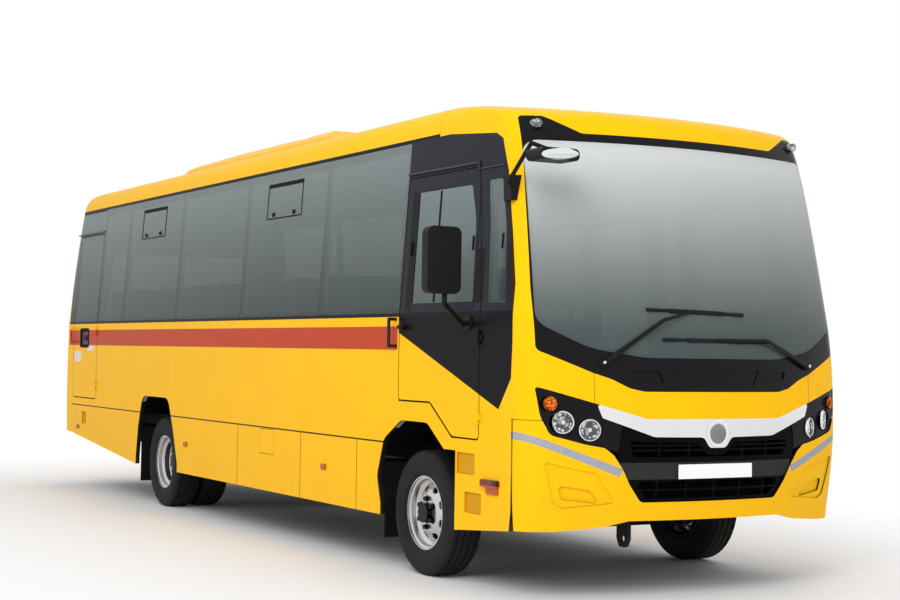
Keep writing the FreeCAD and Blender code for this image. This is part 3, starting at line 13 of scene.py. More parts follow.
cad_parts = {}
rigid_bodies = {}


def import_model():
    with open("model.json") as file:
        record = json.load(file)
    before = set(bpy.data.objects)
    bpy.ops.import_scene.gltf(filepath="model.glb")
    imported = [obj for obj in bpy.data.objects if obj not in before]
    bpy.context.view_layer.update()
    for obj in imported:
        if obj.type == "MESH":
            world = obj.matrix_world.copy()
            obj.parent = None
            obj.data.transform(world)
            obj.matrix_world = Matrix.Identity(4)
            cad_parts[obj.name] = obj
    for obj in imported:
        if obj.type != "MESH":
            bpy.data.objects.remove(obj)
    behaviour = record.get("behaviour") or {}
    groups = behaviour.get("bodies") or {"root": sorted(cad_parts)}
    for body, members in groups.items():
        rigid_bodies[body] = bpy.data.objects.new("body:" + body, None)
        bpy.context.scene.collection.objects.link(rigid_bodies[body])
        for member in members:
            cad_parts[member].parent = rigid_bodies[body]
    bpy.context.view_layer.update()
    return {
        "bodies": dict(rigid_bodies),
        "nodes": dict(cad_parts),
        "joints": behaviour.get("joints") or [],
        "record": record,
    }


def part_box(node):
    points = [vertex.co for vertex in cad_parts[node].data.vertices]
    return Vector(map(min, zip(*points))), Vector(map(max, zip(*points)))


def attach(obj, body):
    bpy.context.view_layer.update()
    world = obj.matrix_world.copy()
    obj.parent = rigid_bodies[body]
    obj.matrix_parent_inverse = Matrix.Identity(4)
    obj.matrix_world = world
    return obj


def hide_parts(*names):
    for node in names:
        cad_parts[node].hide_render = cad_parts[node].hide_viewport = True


LOG = logging.getLogger("bus")

STATION = 0.03  # the frame's x minus the photograph's station
HALF_WIDTH = 1.19
BELT_Z = 1.66
TUMBLEHOME = 0.07
LINING_Z = 0.93  # the inner faces are black below this height
BODY = "bus_body"
WHEELS = {"wheel_front_right": (3.12, -1.0225), "wheel_front_left": (3.12, 1.0225),
          "wheels_rear_right": (-1.8, -1.0045), "wheels_rear_left": (-1.8, 1.0045)}
TWIN = 0.262
AXLE_Z = 0.4
AHEAD = Vector((1.0, 0.0, 0.0))

Colour = tuple[float, float, float]
Pair = tuple[float, float]
Pairs = tuple[Pair, ...]
Boxes = tuple[tuple[float, float, float, float], ...]
Tree = bpy.types.NodeTree
Socket = bpy.types.NodeSocket
Piece = bpy.types.Object


class Side(Enum):
    """Side of the bus, with the sign of its Y."""

    RIGHT = -1.0
    LEFT = 1.0


def binary(operation: str) -> "Callable[[Field, Field | float], Field]":
    """Operator of Field that puts one Math node on its two sides."""
    return lambda left, right: left.math(operation, right)


class Field:
    """Scalar socket of a node tree that can be worked with like a number."""

    def __init__(self, tree: Tree, socket: Socket) -> None:
        """Keep the tree and the socket."""
        self.tree = tree
        self.socket = socket

    def math(self, operation: str, other: "Field | float | None" = None) -> "Field":
        """One Math node on this field.

        Args:
            operation: name of the Math node's operation.
            other: second input, a field or a plain number.

        Returns:
            The node's result.
        """
        node = self.tree.nodes.new("ShaderNodeMath")
        node.operation = operation
        self.tree.links.new(self.socket, node.inputs[0])
        if isinstance(other, Field):
            self.tree.links.new(other.socket, node.inputs[1])
        elif other is not None:
            node.inputs[1].default_value = other
        return Field(self.tree, node.outputs[0])

    __add__, __sub__, __mul__ = binary("ADD"), binary("SUBTRACT"), binary("MULTIPLY")
    __gt__, __lt__ = binary("GREATER_THAN"), binary("LESS_THAN")
    __and__, __or__ = binary("MINIMUM"), binary("MAXIMUM")

    def ramp(self, low: "Field | float", high: "Field | float") -> "Field":
        """Go from 0 at low to 1 at high, held at both ends.

        Args:
            low: value that gives 0.
            high: value that gives 1.

        Returns:
            The share.
        """
        node = self.tree.nodes.new("ShaderNodeMapRange")
        feed(self.tree, low, node.inputs["From Min"])
        feed(self.tree, high, node.inputs["From Max"])
        self.tree.links.new(self.socket, node.inputs["Value"])
        return Field(self.tree, node.outputs["Result"])


def between(value: Field, low: "Field | float", high: "Field | float") -> Field:
    """Mask that is one between two limits."""
    return (value > low) & (value < high)


def mix(tree: Tree, mask: Field, base: "Socket | Colour", over: "Socket | Colour") -> Socket:
    """Mix two colours by a mask.

    Args:
        tree: node tree to add to.
        mask: share of the second colour.
        base: first colour, a socket or a plain colour.
        over: second colour, a socket or a plain colour.

    Returns:
        The mixed colour's socket.
    """
    node = tree.nodes.new("ShaderNodeMix")
    node.data_type = "RGBA"
    tree.links.new(mask.socket, node.inputs["Factor"])
    for name, value in (("A", base), ("B", over)):
        socket = next(s for s in node.inputs if s.name == name and s.type == "RGBA")
        feed(tree, (*value, 1.0) if isinstance(value, tuple) else value, socket)
    return next(s for s in node.outputs if s.type == "RGBA")


def lay(tree: Tree, base: "Socket | Colour", *layers: "tuple[Field, Socket | Colour]") -> "Socket | Colour":
    """Lay colours over a base in turn.

    Args:
        tree: node tree to add to.
        base: colour under the first layer.
        layers: mask and colour of each layer.

    Returns:
        The finished colour.
    """
    for mask, colour in layers:
        base = mix(tree, mask, base, colour)
    return base


def blend(tree: Tree, share: Field, first: Socket, second: Socket) -> Socket:
    """Mix two shaders by the share of the second.

    Args:
        tree: node tree to add to.
        share: share of the second shader.
        first: shader at share 0.
        second: shader at share 1.

    Returns:
        The mixed shader's socket.
    """
    node = tree.nodes.new("ShaderNodeMixShader")
    for given, socket in zip((share.socket, first, second), node.inputs):
        tree.links.new(given, socket)
    return node.outputs[0]


def coordinates(tree: Tree) -> tuple[Field, Field, Field, Socket]:
    """Row-frame place of the shaded point.

    Args:
        tree: node tree to add to.

    Returns:
        Its x, y and z, and the socket that holds all three.
    """
    place = tree.nodes.new("ShaderNodeTexCoord").outputs["Object"]
    split = tree.nodes.new("ShaderNodeSeparateXYZ")
    tree.links.new(place, split.inputs[0])
    x, y, z = (Field(tree, socket) for socket in split.outputs)
    return x, y, z, place


def facing_out(tree: Tree, centre: Colour) -> Field:
    """Mask of the surface whose normal points away from a centre.

    Args:
        tree: node tree to add to.
        centre: point in the row frame.

    Returns:
        The mask.
    """
    node = tree.nodes.new("ShaderNodeTexCoord")
    away = tree.nodes.new("ShaderNodeVectorMath")
    away.operation = "SUBTRACT"
    tree.links.new(node.outputs["Object"], away.inputs[0])
    away.inputs[1].default_value = centre
    dot = tree.nodes.new("ShaderNodeVectorMath")
    dot.operation = "DOT_PRODUCT"
    tree.links.new(away.outputs[0], dot.inputs[0])
    tree.links.new(node.outputs["Normal"], dot.inputs[1])
    return Field(tree, dot.outputs["Value"]) > 0.0


def feed(tree: Tree, value: "Field | Socket | float | Sequence[float]", socket: Socket) -> None:
    """Link a field or a socket to an input, or write a plain value there.

    Args:
        tree: node tree of the input.
        value: field, socket or plain value.
        socket: the input.
    """
    if isinstance(value, Field):
        tree.links.new(value.socket, socket)
    elif isinstance(value, Socket):
        tree.links.new(value, socket)
    else:
        socket.default_value = value


def noise(tree: Tree, place: Socket, scale: "Field | float", detail: "Field | float" = 2.0,
          stretch: "Socket | Sequence[float]" = (1.0, 1.0, 1.0)) -> Field:
    """Noise from 0 to 1 in the row frame.

    Args:
        tree: node tree to add to.
        place: coordinates to read.
        scale: how fine the noise is.
        detail: how many finer layers it has.
        stretch: factor on x, y and z.

    Returns:
        The noise.
    """
    mapping = tree.nodes.new("ShaderNodeMapping")
    feed(tree, stretch, mapping.inputs["Scale"])
    tree.links.new(place, mapping.inputs["Vector"])
    node = tree.nodes.new("ShaderNodeTexNoise")
    feed(tree, scale, node.inputs["Scale"])
    feed(tree, detail, node.inputs["Detail"])
    tree.links.new(mapping.outputs[0], node.inputs["Vector"])
    return Field(tree, node.outputs[0])


def cells(tree: Tree, place: Socket, scale: "Field | float") -> Field:
    """Distance to the nearest cell centre, for hide, mesh and reflecting tape.

    Args:
        tree: node tree to add to.
        place: coordinates to read.
        scale: how fine the cells are.

    Returns:
        The distance.
    """
    node = tree.nodes.new("ShaderNodeTexVoronoi")
    feed(tree, scale, node.inputs["Scale"])
    tree.links.new(place, node.inputs["Vector"])
    return Field(tree, node.outputs["Distance"])


def fine_grain(tree: Tree, given: dict[str, Field]) -> Sequence[Field]:
    """Fine surface of paint, castings, mouldings and brushed metal.

    Args:
        tree: the group's node tree.
        given: its inputs by name.

    Returns:
        Height in metres and a slow shade from 0 to 1.
    """
    place = coordinates(tree)[3]
    grain = noise(tree, place, given["Scale"], given["Detail"], given["Stretch"].socket)
    return grain * given["Depth"], noise(tree, place, 3.0, 5.0)


def woven_grain(tree: Tree, given: dict[str, Field]) -> Sequence[Field]:
    """Plain weave of cloth.

    Args:
        tree: the group's node tree.
        given: its inputs by name.

    Returns:
        Height of crossing threads and a slow shade from 0 to 1.
    """
    x, y, z, place = coordinates(tree)
    threads = ((x + z) * given["Pitch"]).math("SINE") * (y * given["Pitch"]).math("SINE")
    return threads * given["Depth"], noise(tree, place, 14.0, 5.0)


def hide_grain(tree: Tree, given: dict[str, Field]) -> Sequence[Field]:
    """Leather-like grain of seat vinyl.

    Args:
        tree: the group's node tree.
        given: its inputs by name.

    Returns:
        Height of small pebbles with fine wrinkles, and a slow shade from 0 to 1.
    """
    place = coordinates(tree)[3]
    pebbles = cells(tree, place, given["Scale"]).math("POWER", 2.0) + noise(tree, place, 90.0, 6.0)
    return pebbles * given["Depth"], noise(tree, place, 9.0, 6.0)


def road_dust(tree: Tree, given: dict[str, Field]) -> Sequence[Field]:
    """Road dust, more towards the ground and in slow patches.

    Args:
        tree: the group's node tree.
        given: its inputs by name.

    Returns:
        Share of dust over the surface.
    """
    _, _, z, place = coordinates(tree)
    low = z.ramp(given["Top"], 0.1)
    patches = noise(tree, place, 7.0, 6.0) + noise(tree, place, 60.0, 3.0) * 0.3
    return [patches * low * given["Amount"]]


GROUPS = {
    "fine_grain": (fine_grain, ("Height", "Shade"),
                   {"Scale": 300.0, "Detail": 2.0, "Depth": 0.0001, "Stretch": (1.0, 1.0, 1.0)}),
    "woven_grain": (woven_grain, ("Height", "Shade"), {"Pitch": 2200.0, "Depth": 0.0004}),
    "hide_grain": (hide_grain, ("Height", "Shade"), {"Scale": 420.0, "Depth": 0.0002}),
    "road_dust": (road_dust, ("Dust",), {"Amount": 0.1, "Top": 0.95}),
}


def shared_group(name: str) -> Tree:
    """Node group that several materials use, built once from its row in GROUPS.

    Args:
        name: name of the group.

    Returns:
        The group's tree.
    """
    if name in bpy.data.node_groups:
        return bpy.data.node_groups[name]
    fill, outputs, inputs = GROUPS[name]
    tree = bpy.data.node_groups.new(name, "ShaderNodeTree")
    for label, value in inputs.items():
        kind = "NodeSocketVector" if isinstance(value, tuple) else "NodeSocketFloat"
        tree.interface.new_socket(label, in_out="INPUT", socket_type=kind).default_value = value
    for label in outputs:
        tree.interface.new_socket(label, in_out="OUTPUT", socket_type="NodeSocketFloat")
    start = tree.nodes.new("NodeGroupInput")
    end = tree.nodes.new("NodeGroupOutput")
    given = {label: Field(tree, start.outputs[label]) for label in inputs}
    for label, field in zip(outputs, fill(tree, given)):
        tree.links.new(field.socket, end.inputs[label])
    return tree


def use_group(tree: Tree, name: str, values: dict[str, "float | Colour"]) -> dict[str, Field]:
    """Place a shared group in a material with the material's own values.

    Args:
        tree: node tree to add to.
        name: name of the group.
        values: value of each named input.

    Returns:
        A field for each named output.
    """
    node = tree.nodes.new("ShaderNodeGroup")
    node.node_tree = shared_group(name)
    for label, value in values.items():
        node.inputs[label].default_value = value
    return {socket.name: Field(tree, socket) for socket in node.outputs}


class Grain(Enum):
    """Kind of fine surface a finish has: scale, detail, depth in metres and stretch."""

    PAINT = (420.0, 1.0, 0.000008, (1.0, 1.0, 1.0))
    PANE = (1.3, 0.0, 0.0003, (1.0, 1.0, 1.0))
    CAST = (160.0, 6.0, 0.0006, (1.0, 1.0, 1.0))
    MOULDED = (700.0, 3.0, 0.00010, (1.0, 1.0, 1.0))
    BRUSHED = (240.0, 2.0, 0.00005, (0.05, 1.0, 1.0))
    WOVEN = (2200.0, 0.0, 0.0004, (1.0, 1.0, 1.0))
    HIDE = (420.0, 0.0, 0.00025, (1.0, 1.0, 1.0))

    def outputs(self, tree: Tree) -> dict[str, Field]:
        """Place the group that makes this grain.

        Args:
            tree: node tree to add to.

        Returns:
            Fields named Height and Shade.
        """
        scale, detail, depth, stretch = self.value
        if self is Grain.WOVEN:
            return use_group(tree, "woven_grain", {"Pitch": scale, "Depth": depth})
        if self is Grain.HIDE:
            return use_group(tree, "hide_grain", {"Scale": scale, "Depth": depth})
        return use_group(tree, "fine_grain", {"Scale": scale, "Detail": detail, "Depth": depth,
                                              "Stretch": stretch})


@dataclass(frozen=True)
class Finish:
    """Finish of one material, with its grain, shade and dust."""

    name: str
    colour: Colour
    roughness: float
    grain: Grain
    metallic: float = 0.0
    coat: float = 0.0
    specular: float = 0.5
    shade: float = 0.12
    dust: float = 0.0
    dust_top: float = 0.95
    alpha: float = 1.0
    sheen: float = 0.0

    def build(self) -> bpy.types.Material:
        """Make the material, unless it is already there.

        Returns:
            The material.
        """
        label = self.name + "_finish"
        if label in bpy.data.materials:
            return bpy.data.materials[label]
        material = bpy.data.materials.new(label)
        material.use_nodes = True
        tree = material.node_tree
        shader = tree.nodes["Principled BSDF"]
        grain = self.grain.outputs(tree)
        dark = tuple(c * (1.0 - self.shade) for c in self.colour)
        light = tuple(min(1.0, c * (1.0 + self.shade)) for c in self.colour)
        colour = self.paint(tree, mix(tree, grain["Shade"].ramp(0.3, 0.7), dark, light))
        rough = grain["Shade"] * (self.roughness * 0.3) + self.roughness * 0.85
        if self.dust:
            dust = use_group(tree, "road_dust", {"Amount": self.dust, "Top": self.dust_top})["Dust"]
            colour = mix(tree, dust, colour, DUST)
            rough = rough + dust * 0.4
        tree.links.new(colour, shader.inputs["Base Color"])
        tree.links.new(rough.socket, shader.inputs["Roughness"])
        bump = tree.nodes.new("ShaderNodeBump")
        bump.inputs["Distance"].default_value = 1.0
        tree.links.new(grain["Height"].socket, bump.inputs["Height"])
        tree.links.new(bump.outputs["Normal"], shader.inputs["Normal"])
        for name, value in (("Metallic", self.metallic), ("Coat Weight", self.coat), ("Coat Roughness", 0.04),
                            ("Specular IOR Level", self.specular), ("Sheen Weight", self.sheen),
                            ("Alpha", self.alpha)):
            shader.inputs[name].default_value = value
        return material

    def paint(self, tree: Tree, base: Socket) -> Socket:
        """Colour with its painted fields; a plain finish has none."""
        return base


YELLOW: Colour = (0.95, 0.51, 0.004)
BLACK: Colour = (0.007, 0.007, 0.0085)
CAB_BLACK: Colour = (0.019, 0.021, 0.029)
RED: Colour = (0.50, 0.062, 0.022)
LINING: Colour = (0.36, 0.37, 0.36)
TAPE: Colour = (0.24, 0.26, 0.29)
TAPE_SPARK: Colour = (0.40, 0.42, 0.46)
AMBER: Colour = (0.55, 0.085, 0.004)
TAIL_RED: Colour = (0.42, 0.012, 0.010)
LENS_WHITE: Colour = (0.62, 0.64, 0.65)
SMOKE: Colour = (0.10, 0.105, 0.11)
DUST: Colour = (0.30, 0.27, 0.22)
TINT_LOW: Colour = (0.040, 0.062, 0.060)
# top colour of the glass grade: a painted sky reflection over the tint
PAINTED_REFLECTION_TOP: Colour = (0.25, 0.30, 0.30)


def painted_pane(tree: Tree, z: Field) -> Socket:
    """Colour of the painted panes by height, a little darker than the glass, lighter towards the top as a
    painted reflection.
    """
    low, top = (tuple(c * 0.8 for c in tint) for tint in (TINT_LOW, PAINTED_REFLECTION_TOP))
    return mix(tree, z.ramp(1.6, 2.7), low, top)


def lining(tree: Tree, z: Field) -> Socket:
    """Colour of the inner faces, black under the floor."""
    return mix(tree, z > LINING_Z, BLACK, LINING)


@dataclass(frozen=True)
class SidePaint(Finish):
    """Yellow side with the black glass band, the cab field, the red stripe, seams, painted shade on the
    pressing floors and the lining inside.
    """

    band_x: Pair = (-4.53, 2.87)
    stripe_z: Pair = (1.441, 1.595)
    stripe_end_x: float = 2.84
    line_z: Pair = (1.657, 1.682)
    top_line_z: float = 2.79
    pane_end_x: float = -3.5
    cab_x: float = 2.857
    cab_edges: Pairs = ((-0.3583, 2.5776631), (1.356, -4.492144))
    seals: Boxes = (
        (1.70, 2.475, 2.935, 3.005), (1.70, 2.475, 3.80, 3.815), (1.735, 2.06, 3.815, 3.915))
    seam_z: Pair = (0.824, 0.835)
    seams_x: tuple[float, ...] = (0.130, 1.340, 2.270)
    # darker yellow on the pressing floors: painted shade in the recesses
    pressing_shade: Colour = (0.62, 0.30, 0.003)
    recess: Colour = (0.10, 0.10, 0.105)
    groove: Colour = (0.035, 0.018, 0.004)
    pressings: Boxes = (
        (0.690, 0.828, 3.638, 3.864), (0.460, 0.595, 3.739, 3.946), (0.641, 0.770, -4.059, -3.896))
    latch: tuple[float, float, float, float] = (1.40, 1.63, -4.165, -3.855)
    skin: float = 0.002
    inner: float = 0.0135

    def paint(self, tree: Tree, base: Socket) -> Socket:
        """Lay the side's fields over the yellow.

        Args:
            tree: node tree to add to.
            base: the finish's plain colour.

        Returns:
            The painted colour.
        """
        x, y, z, _ = coordinates(tree)

        def patch(low: float, high: float, rear: float, front: float) -> Field:
            """Mask of an upright rectangle."""
            return between(z, low, high) & between(x, rear, front)

        lean = (z - BELT_Z).math("MAXIMUM", 0.0) * TUMBLEHOME
        depth = (y.math("ABSOLUTE") + lean) * -1.0 + HALF_WIDTH
        cab = x > self.cab_x
        for slope, height in self.cab_edges:
            cab = cab & (z > x * slope + height)
        seam = between(z, *self.seam_z) & (x < self.band_x[1])
        for place in self.seams_x:
            seam = seam | (between(x, place - 0.004, place + 0.004) & (z < self.seam_z[1]))
        # below the skin: dark joints in the seams, painted shade on the pressing floors and grey in the latch
        # recess
        sunk = lay(tree, self.groove, *((patch(*place), self.pressing_shade) for place in self.pressings),
                   (patch(*self.latch), self.recess))
        rear = self.band_x[0]
        return lay(tree, base, (patch(*self.stripe_z, rear, self.stripe_end_x), RED),
                   ((z > self.line_z[0]) & between(x, *self.band_x), BLACK),
                   # painted panes whose top grows lighter as a painted reflection
                   (patch(self.line_z[1], self.top_line_z, rear, self.pane_end_x), painted_pane(tree, z)),
                   (cab, mix(tree, z > self.line_z[1], BLACK, CAB_BLACK)),
                   *((patch(*place), BLACK) for place in self.seals), (seam, self.groove),
                   (depth > self.skin, sunk), (depth > self.inner, lining(tree, z)))


@dataclass(frozen=True)
class ShellPaint(Finish):
    """Yellow roof, rear or front shell with the lining inside and the black lines on its outside."""

    centre: Colour = (0.0, 0.0, 1.5)
    drip_to_x: float = 0.0
    drip_from_x: float = -4.41
    drip_z: float = 2.828
    band_from_x: float = 0.0
    band_z: Pair = (1.657, 2.828)
    pane_z: Pair = (1.682, 2.79)
    stripe_z: Pair = (1.441, 1.595)
    roof_y: float = 1.0
    side_y: float = 1.02

    def paint(self, tree: Tree, base: Socket) -> Socket:
        """Lay the shell's fields over the yellow.

        Args:
            tree: node tree to add to.
            base: the finish's plain colour.

        Returns:
            The painted colour.
        """
        x, y, z, _ = coordinates(tree)
        width = y.math("ABSOLUTE")
        layers = []
        if self.drip_to_x:
            drip = (z < self.drip_z) & (width > self.roof_y)
            layers.append((drip & between(x, self.drip_from_x, self.drip_to_x), BLACK))
        if self.band_from_x:
            side = (width > self.side_y) & (x > self.band_from_x)
            layers += [(side & between(z, *self.band_z), BLACK),
                       # painted panes whose top grows lighter as a painted reflection
                       (side & between(z, *self.pane_z), painted_pane(tree, z)),
                       (side & between(z, *self.stripe_z), RED)]
        return mix(tree, facing_out(tree, self.centre), lining(tree, z), lay(tree, base, *layers))


@dataclass(frozen=True)
class FloorPaint(Finish):
    """Vinyl floor, black from below and inside the wheel housings."""

    under_z: float = 0.885
    arches_x: Pair = (3.12, -1.8)
    arch_reach: float = 0.75
    arch_in_y: float = 0.69
    arch_top_z: float = 1.15
    dark: Colour = (0.004, 0.004, 0.004)

    def paint(self, tree: Tree, base: Socket) -> Socket:
        """Blacken the underside and the housings.

        Args:
            tree: node tree to add to.
            base: the finish's plain colour.

        Returns:
            The painted colour.
        """
        x, y, z, _ = coordinates(tree)
        front, rear = (between(x, at - self.arch_reach, at + self.arch_reach) for at in self.arches_x)
        housing = (front | rear) & (y.math("ABSOLUTE") > self.arch_in_y) & (z < self.arch_top_z)
        return mix(tree, (z < self.under_z) | housing, base, self.dark)


@dataclass(frozen=True)
class BumperPaint(Finish):
    """Yellow bumper with its slanted silver tape."""

    tape_top: Pair = (-0.371, 0.978)
    tape_low: Pair = (-0.385, 0.934)
    tape_end: Pair = (-0.6, 1.085)
    tape_from_x: float = 4.25

    def paint(self, tree: Tree, base: Socket) -> Socket:
        """Lay the tape over the yellow.

        Args:
            tree: node tree to add to.
            base: the finish's plain colour.

        Returns:
            The painted colour.
        """
        x, y, z, place = coordinates(tree)
        width = y.math("ABSOLUTE")
        inward = width * -1.0 + HALF_WIDTH
        top, low = (inward * slope + height for slope, height in (self.tape_top, self.tape_low))
        end = width > z * self.tape_end[0] + self.tape_end[1]
        silver = mix(tree, cells(tree, place, 160.0).ramp(0.2, 0.7), TAPE, TAPE_SPARK)
        colour = mix(tree, between(z, low, top) & end & (x > self.tape_from_x), base, silver)
        return mix(tree, facing_out(tree, (3.4, 0.0, 0.8)), BLACK, colour)


@dataclass(frozen=True)
class WheelPaint(Finish):
    """Silver wheel with a black hub and nuts, by distance from the axle's line."""

    axle_x: float = 0.0
    hub: float = 0.068
    nut_circle: float = 0.09
    nut_reach: float = 0.0005
    inner_y: float = 0.98

    def paint(self, tree: Tree, base: Socket) -> Socket:
        """Lay the black hub and six nuts over the silver; a nut's reach is its squared radius.

        Args:
            tree: node tree to add to.
            base: the finish's plain colour.

        Returns:
            The painted colour.
        """
        x, y, z, _ = coordinates(tree)
        across, up = x - self.axle_x, z - AXLE_Z
        radius = (across * across + up * up).math("SQRT")
        turn = up.math("ARCTAN2", across) * (3.0 / math.pi) + 0.5
        off = (turn - turn.math("ROUND")) * (math.pi / 3.0)
        apart = radius * off.math("COSINE") * (2.0 * self.nut_circle)
        nut = (radius * radius - apart + self.nut_circle ** 2) < self.nut_reach
        inner = y.math("ABSOLUTE") < self.inner_y
        return mix(tree, (radius < self.hub) | nut | inner, base, BLACK)


@dataclass(frozen=True)
class GlassFinish(Finish):
    """Tinted pane with a painted reflection that makes it lighter towards its top edge."""

    low: float = 1.6
    high: float = 2.75
    top: Colour = PAINTED_REFLECTION_TOP

    def paint(self, tree: Tree, base: Socket) -> Socket:
        """Grade the colour by height, lighter towards the top as a painted reflection."""
        return mix(tree, coordinates(tree)[2].ramp(self.low, self.high).math("POWER", 1.4), base, self.top)


@dataclass(frozen=True)
class LampPaint(Finish):
    """Lenses of the small lamps, coloured by where each lamp stands."""

    clear_z: float = 2.5
    tail_x: float = -4.5
    tail_white_z: Pair = (0.93, 1.07)
    side_x: Pair = (3.9, 4.2)
    side_z: Pair = (0.648, 0.7)
    side_split_x: float = 4.10
    side_red: Colour = (0.16, 0.022, 0.010)
    side_dark: Colour = (0.02, 0.006, 0.005)

    def paint(self, tree: Tree, base: Socket) -> Socket:
        """Clear above the screen, red, clear and amber at the tail, two tones at the side indicator.

        Args:
            tree: node tree to add to.
            base: the finish's plain colour.

        Returns:
            The painted colour.
        """
        x, _, z, place = coordinates(tree)
        prisms = cells(tree, place, 260.0).ramp(0.1, 0.9)
        clear = mix(tree, cells(tree, place, 75.0).ramp(0.3, 0.6), LENS_WHITE, SMOKE)
        tail = x < self.tail_x
        block = between(x, *self.side_x) & between(z, *self.side_z)
        return lay(tree, base, (prisms * 0.5, tuple(c * 0.6 for c in AMBER)), (z > self.clear_z, clear),
                   (tail & (z < self.tail_white_z[0]), TAIL_RED),
                   (tail & between(z, *self.tail_white_z), LENS_WHITE),
                   (block, self.side_red), (block & (x > self.side_split_x), self.side_dark))


@dataclass(frozen=True)
class FacetPaint(Finish):
    """Lamp bowl whose facets light up and darken in turn, as painted reflections."""

    facet: float = 50.0
    painted_glint: Colour = (0.80, 0.81, 0.83)

    def paint(self, tree: Tree, base: Socket) -> Socket:
        """Lighten the middle of each facet with a painted glint."""
        place = coordinates(tree)[3]
        return mix(tree, cells(tree, place, self.facet).ramp(0.62, 0.30), base, self.painted_glint)


@dataclass(frozen=True)
class GrillePaint(Finish):
    """Black grille with the dark grey bar behind the number plate."""

    bar_z: Pair = (0.708, 0.806)
    bar: Colour = (0.032, 0.032, 0.034)

    def paint(self, tree: Tree, base: Socket) -> Socket:
        """Lay the grey bar over the black."""
        return mix(tree, between(coordinates(tree)[2], *self.bar_z), base, self.bar)


@dataclass(frozen=True)
class MeshPaint(Finish):
    """Black mesh behind the grille, with small open cells painted darker as painted shade behind them."""

    pitch: float = 260.0
    # colour of the open cells: painted shade behind the mesh
    cell: Colour = (0.001, 0.001, 0.001)

    def paint(self, tree: Tree, base: Socket) -> Socket:
        """Darken the cells, painted shade where the mesh would be open.

        Args:
            tree: node tree to add to.
            base: the finish's plain colour.

        Returns:
            The painted colour.
        """
        _, y, z, _ = coordinates(tree)
        holes = ((y * self.pitch).math("SINE") * (z * self.pitch).math("SINE")).ramp(-0.2, 0.4)
        return mix(tree, holes, base, self.cell)


BODY_PAINT = {"roughness": 0.34, "grain": Grain.PAINT, "coat": 0.0, "specular": 0.05, "shade": 0.02}
PAINT_SIDE = SidePaint("paint_side", YELLOW, dust=0.05, **BODY_PAINT)
PAINT_ROOF = ShellPaint("paint_roof", YELLOW, centre=(0.0, 0.0, 1.0), drip_to_x=3.9, **BODY_PAINT)
PAINT_REAR = ShellPaint("paint_rear", YELLOW, dust=0.06, centre=(-3.0, 0.0, 1.5), band_from_x=-4.53,
                        **BODY_PAINT)
PAINT_FRONT = ShellPaint("paint_front", YELLOW, centre=(3.0, 0.0, 1.2), **BODY_PAINT)
PAINT_BUMPER = BumperPaint("paint_bumper", YELLOW, dust=0.04, **BODY_PAINT)
PAINT_PLAIN = Finish("paint_plain", YELLOW, **BODY_PAINT)
GLOSS_BLACK = Finish("gloss_black", BLACK, 0.2, Grain.PAINT, specular=0.10, shade=0.05)
MOULDED_BLACK = Finish("moulded_black", (0.010, 0.010, 0.011), 0.45, Grain.MOULDED, specular=0.10, shade=0.1)
RUBBER_SEAL = Finish("rubber_seal", (0.008, 0.008, 0.008), 0.6, Grain.MOULDED, specular=0.04, shade=0.1)
# each glass grows lighter towards its top edge: a painted reflection over the tint
SIDE_GLASS = GlassFinish("side_glass", TINT_LOW, 0.05, Grain.PANE, specular=0.2, shade=0.01, alpha=0.62)
DOOR_GLASS = GlassFinish("door_glass", (0.070, 0.100, 0.098), 0.05, Grain.PANE, specular=0.2, shade=0.01,
                         alpha=0.84, top=(0.22, 0.275, 0.275))
SCREEN_GLASS = GlassFinish("screen_glass", (0.070, 0.092, 0.092), 0.05, Grain.PANE, specular=0.3, shade=0.01,
                           alpha=0.74, low=1.52, high=2.62, top=(0.66, 0.69, 0.69))
CLEAR_LENS = Finish("clear_lens", (0.5, 0.52, 0.53), 0.05, Grain.PANE, specular=0.15, shade=0.02, alpha=0.07)
# amber lens with a painted glint in each facet
AMBER_LENS = FacetPaint("amber_lens", (0.28, 0.030, 0.002), 0.14, Grain.PAINT, specular=0.2, shade=0.05,
                        facet=75.0, painted_glint=(0.85, 0.20, 0.012))
SMALL_LAMPS = LampPaint("small_lamps", AMBER, 0.16, Grain.PAINT, specular=0.4, shade=0.05)
# dark bowl with a painted glint in each facet
REFLECTOR = FacetPaint("reflector", (0.025, 0.026, 0.028), 0.12, Grain.PAINT, metallic=1.0, shade=0.1)
REFLECTOR_CORE = Finish("reflector_core", (0.80, 0.81, 0.83), 0.1, Grain.PAINT, metallic=1.0, shade=0.05)
CHROME = Finish("chrome", (0.80, 0.80, 0.82), 0.12, Grain.PAINT, metallic=1.0, shade=0.05)
SATIN_CHROME = Finish("satin_chrome", (0.88, 0.88, 0.90), 0.26, Grain.BRUSHED, metallic=1.0, shade=0.03)
DARK_CHROME = Finish("dark_chrome", (0.26, 0.265, 0.27), 0.28, Grain.BRUSHED, metallic=1.0, shade=0.15)
MIRROR_GLASS = Finish("mirror_glass", (0.8, 0.82, 0.83), 0.03, Grain.PANE, metallic=1.0, shade=0.01)
TYRE_RUBBER = Finish("tyre_rubber", (0.015, 0.015, 0.016), 0.6, Grain.MOULDED, specular=0.08, shade=0.3,
                     dust=0.02)
CHASSIS = Finish("chassis_paint", (0.012, 0.012, 0.013), 0.6, Grain.CAST, specular=0.06, shade=0.2, dust=0.06)
SPRING = Finish("spring_steel", (0.05, 0.048, 0.046), 0.6, Grain.CAST, metallic=0.6, shade=0.25, dust=0.3)
IRON = Finish("cast_iron", (0.09, 0.095, 0.10), 0.6, Grain.CAST, metallic=0.5, shade=0.2, dust=0.2)
EXHAUST = Finish("exhaust_steel", (0.3, 0.27, 0.23), 0.5, Grain.CAST, metallic=0.8, shade=0.3, dust=0.3)
FLOORING = FloorPaint("floor_vinyl", (0.10, 0.105, 0.11), 0.7, Grain.MOULDED, specular=0.03, shade=0.15)
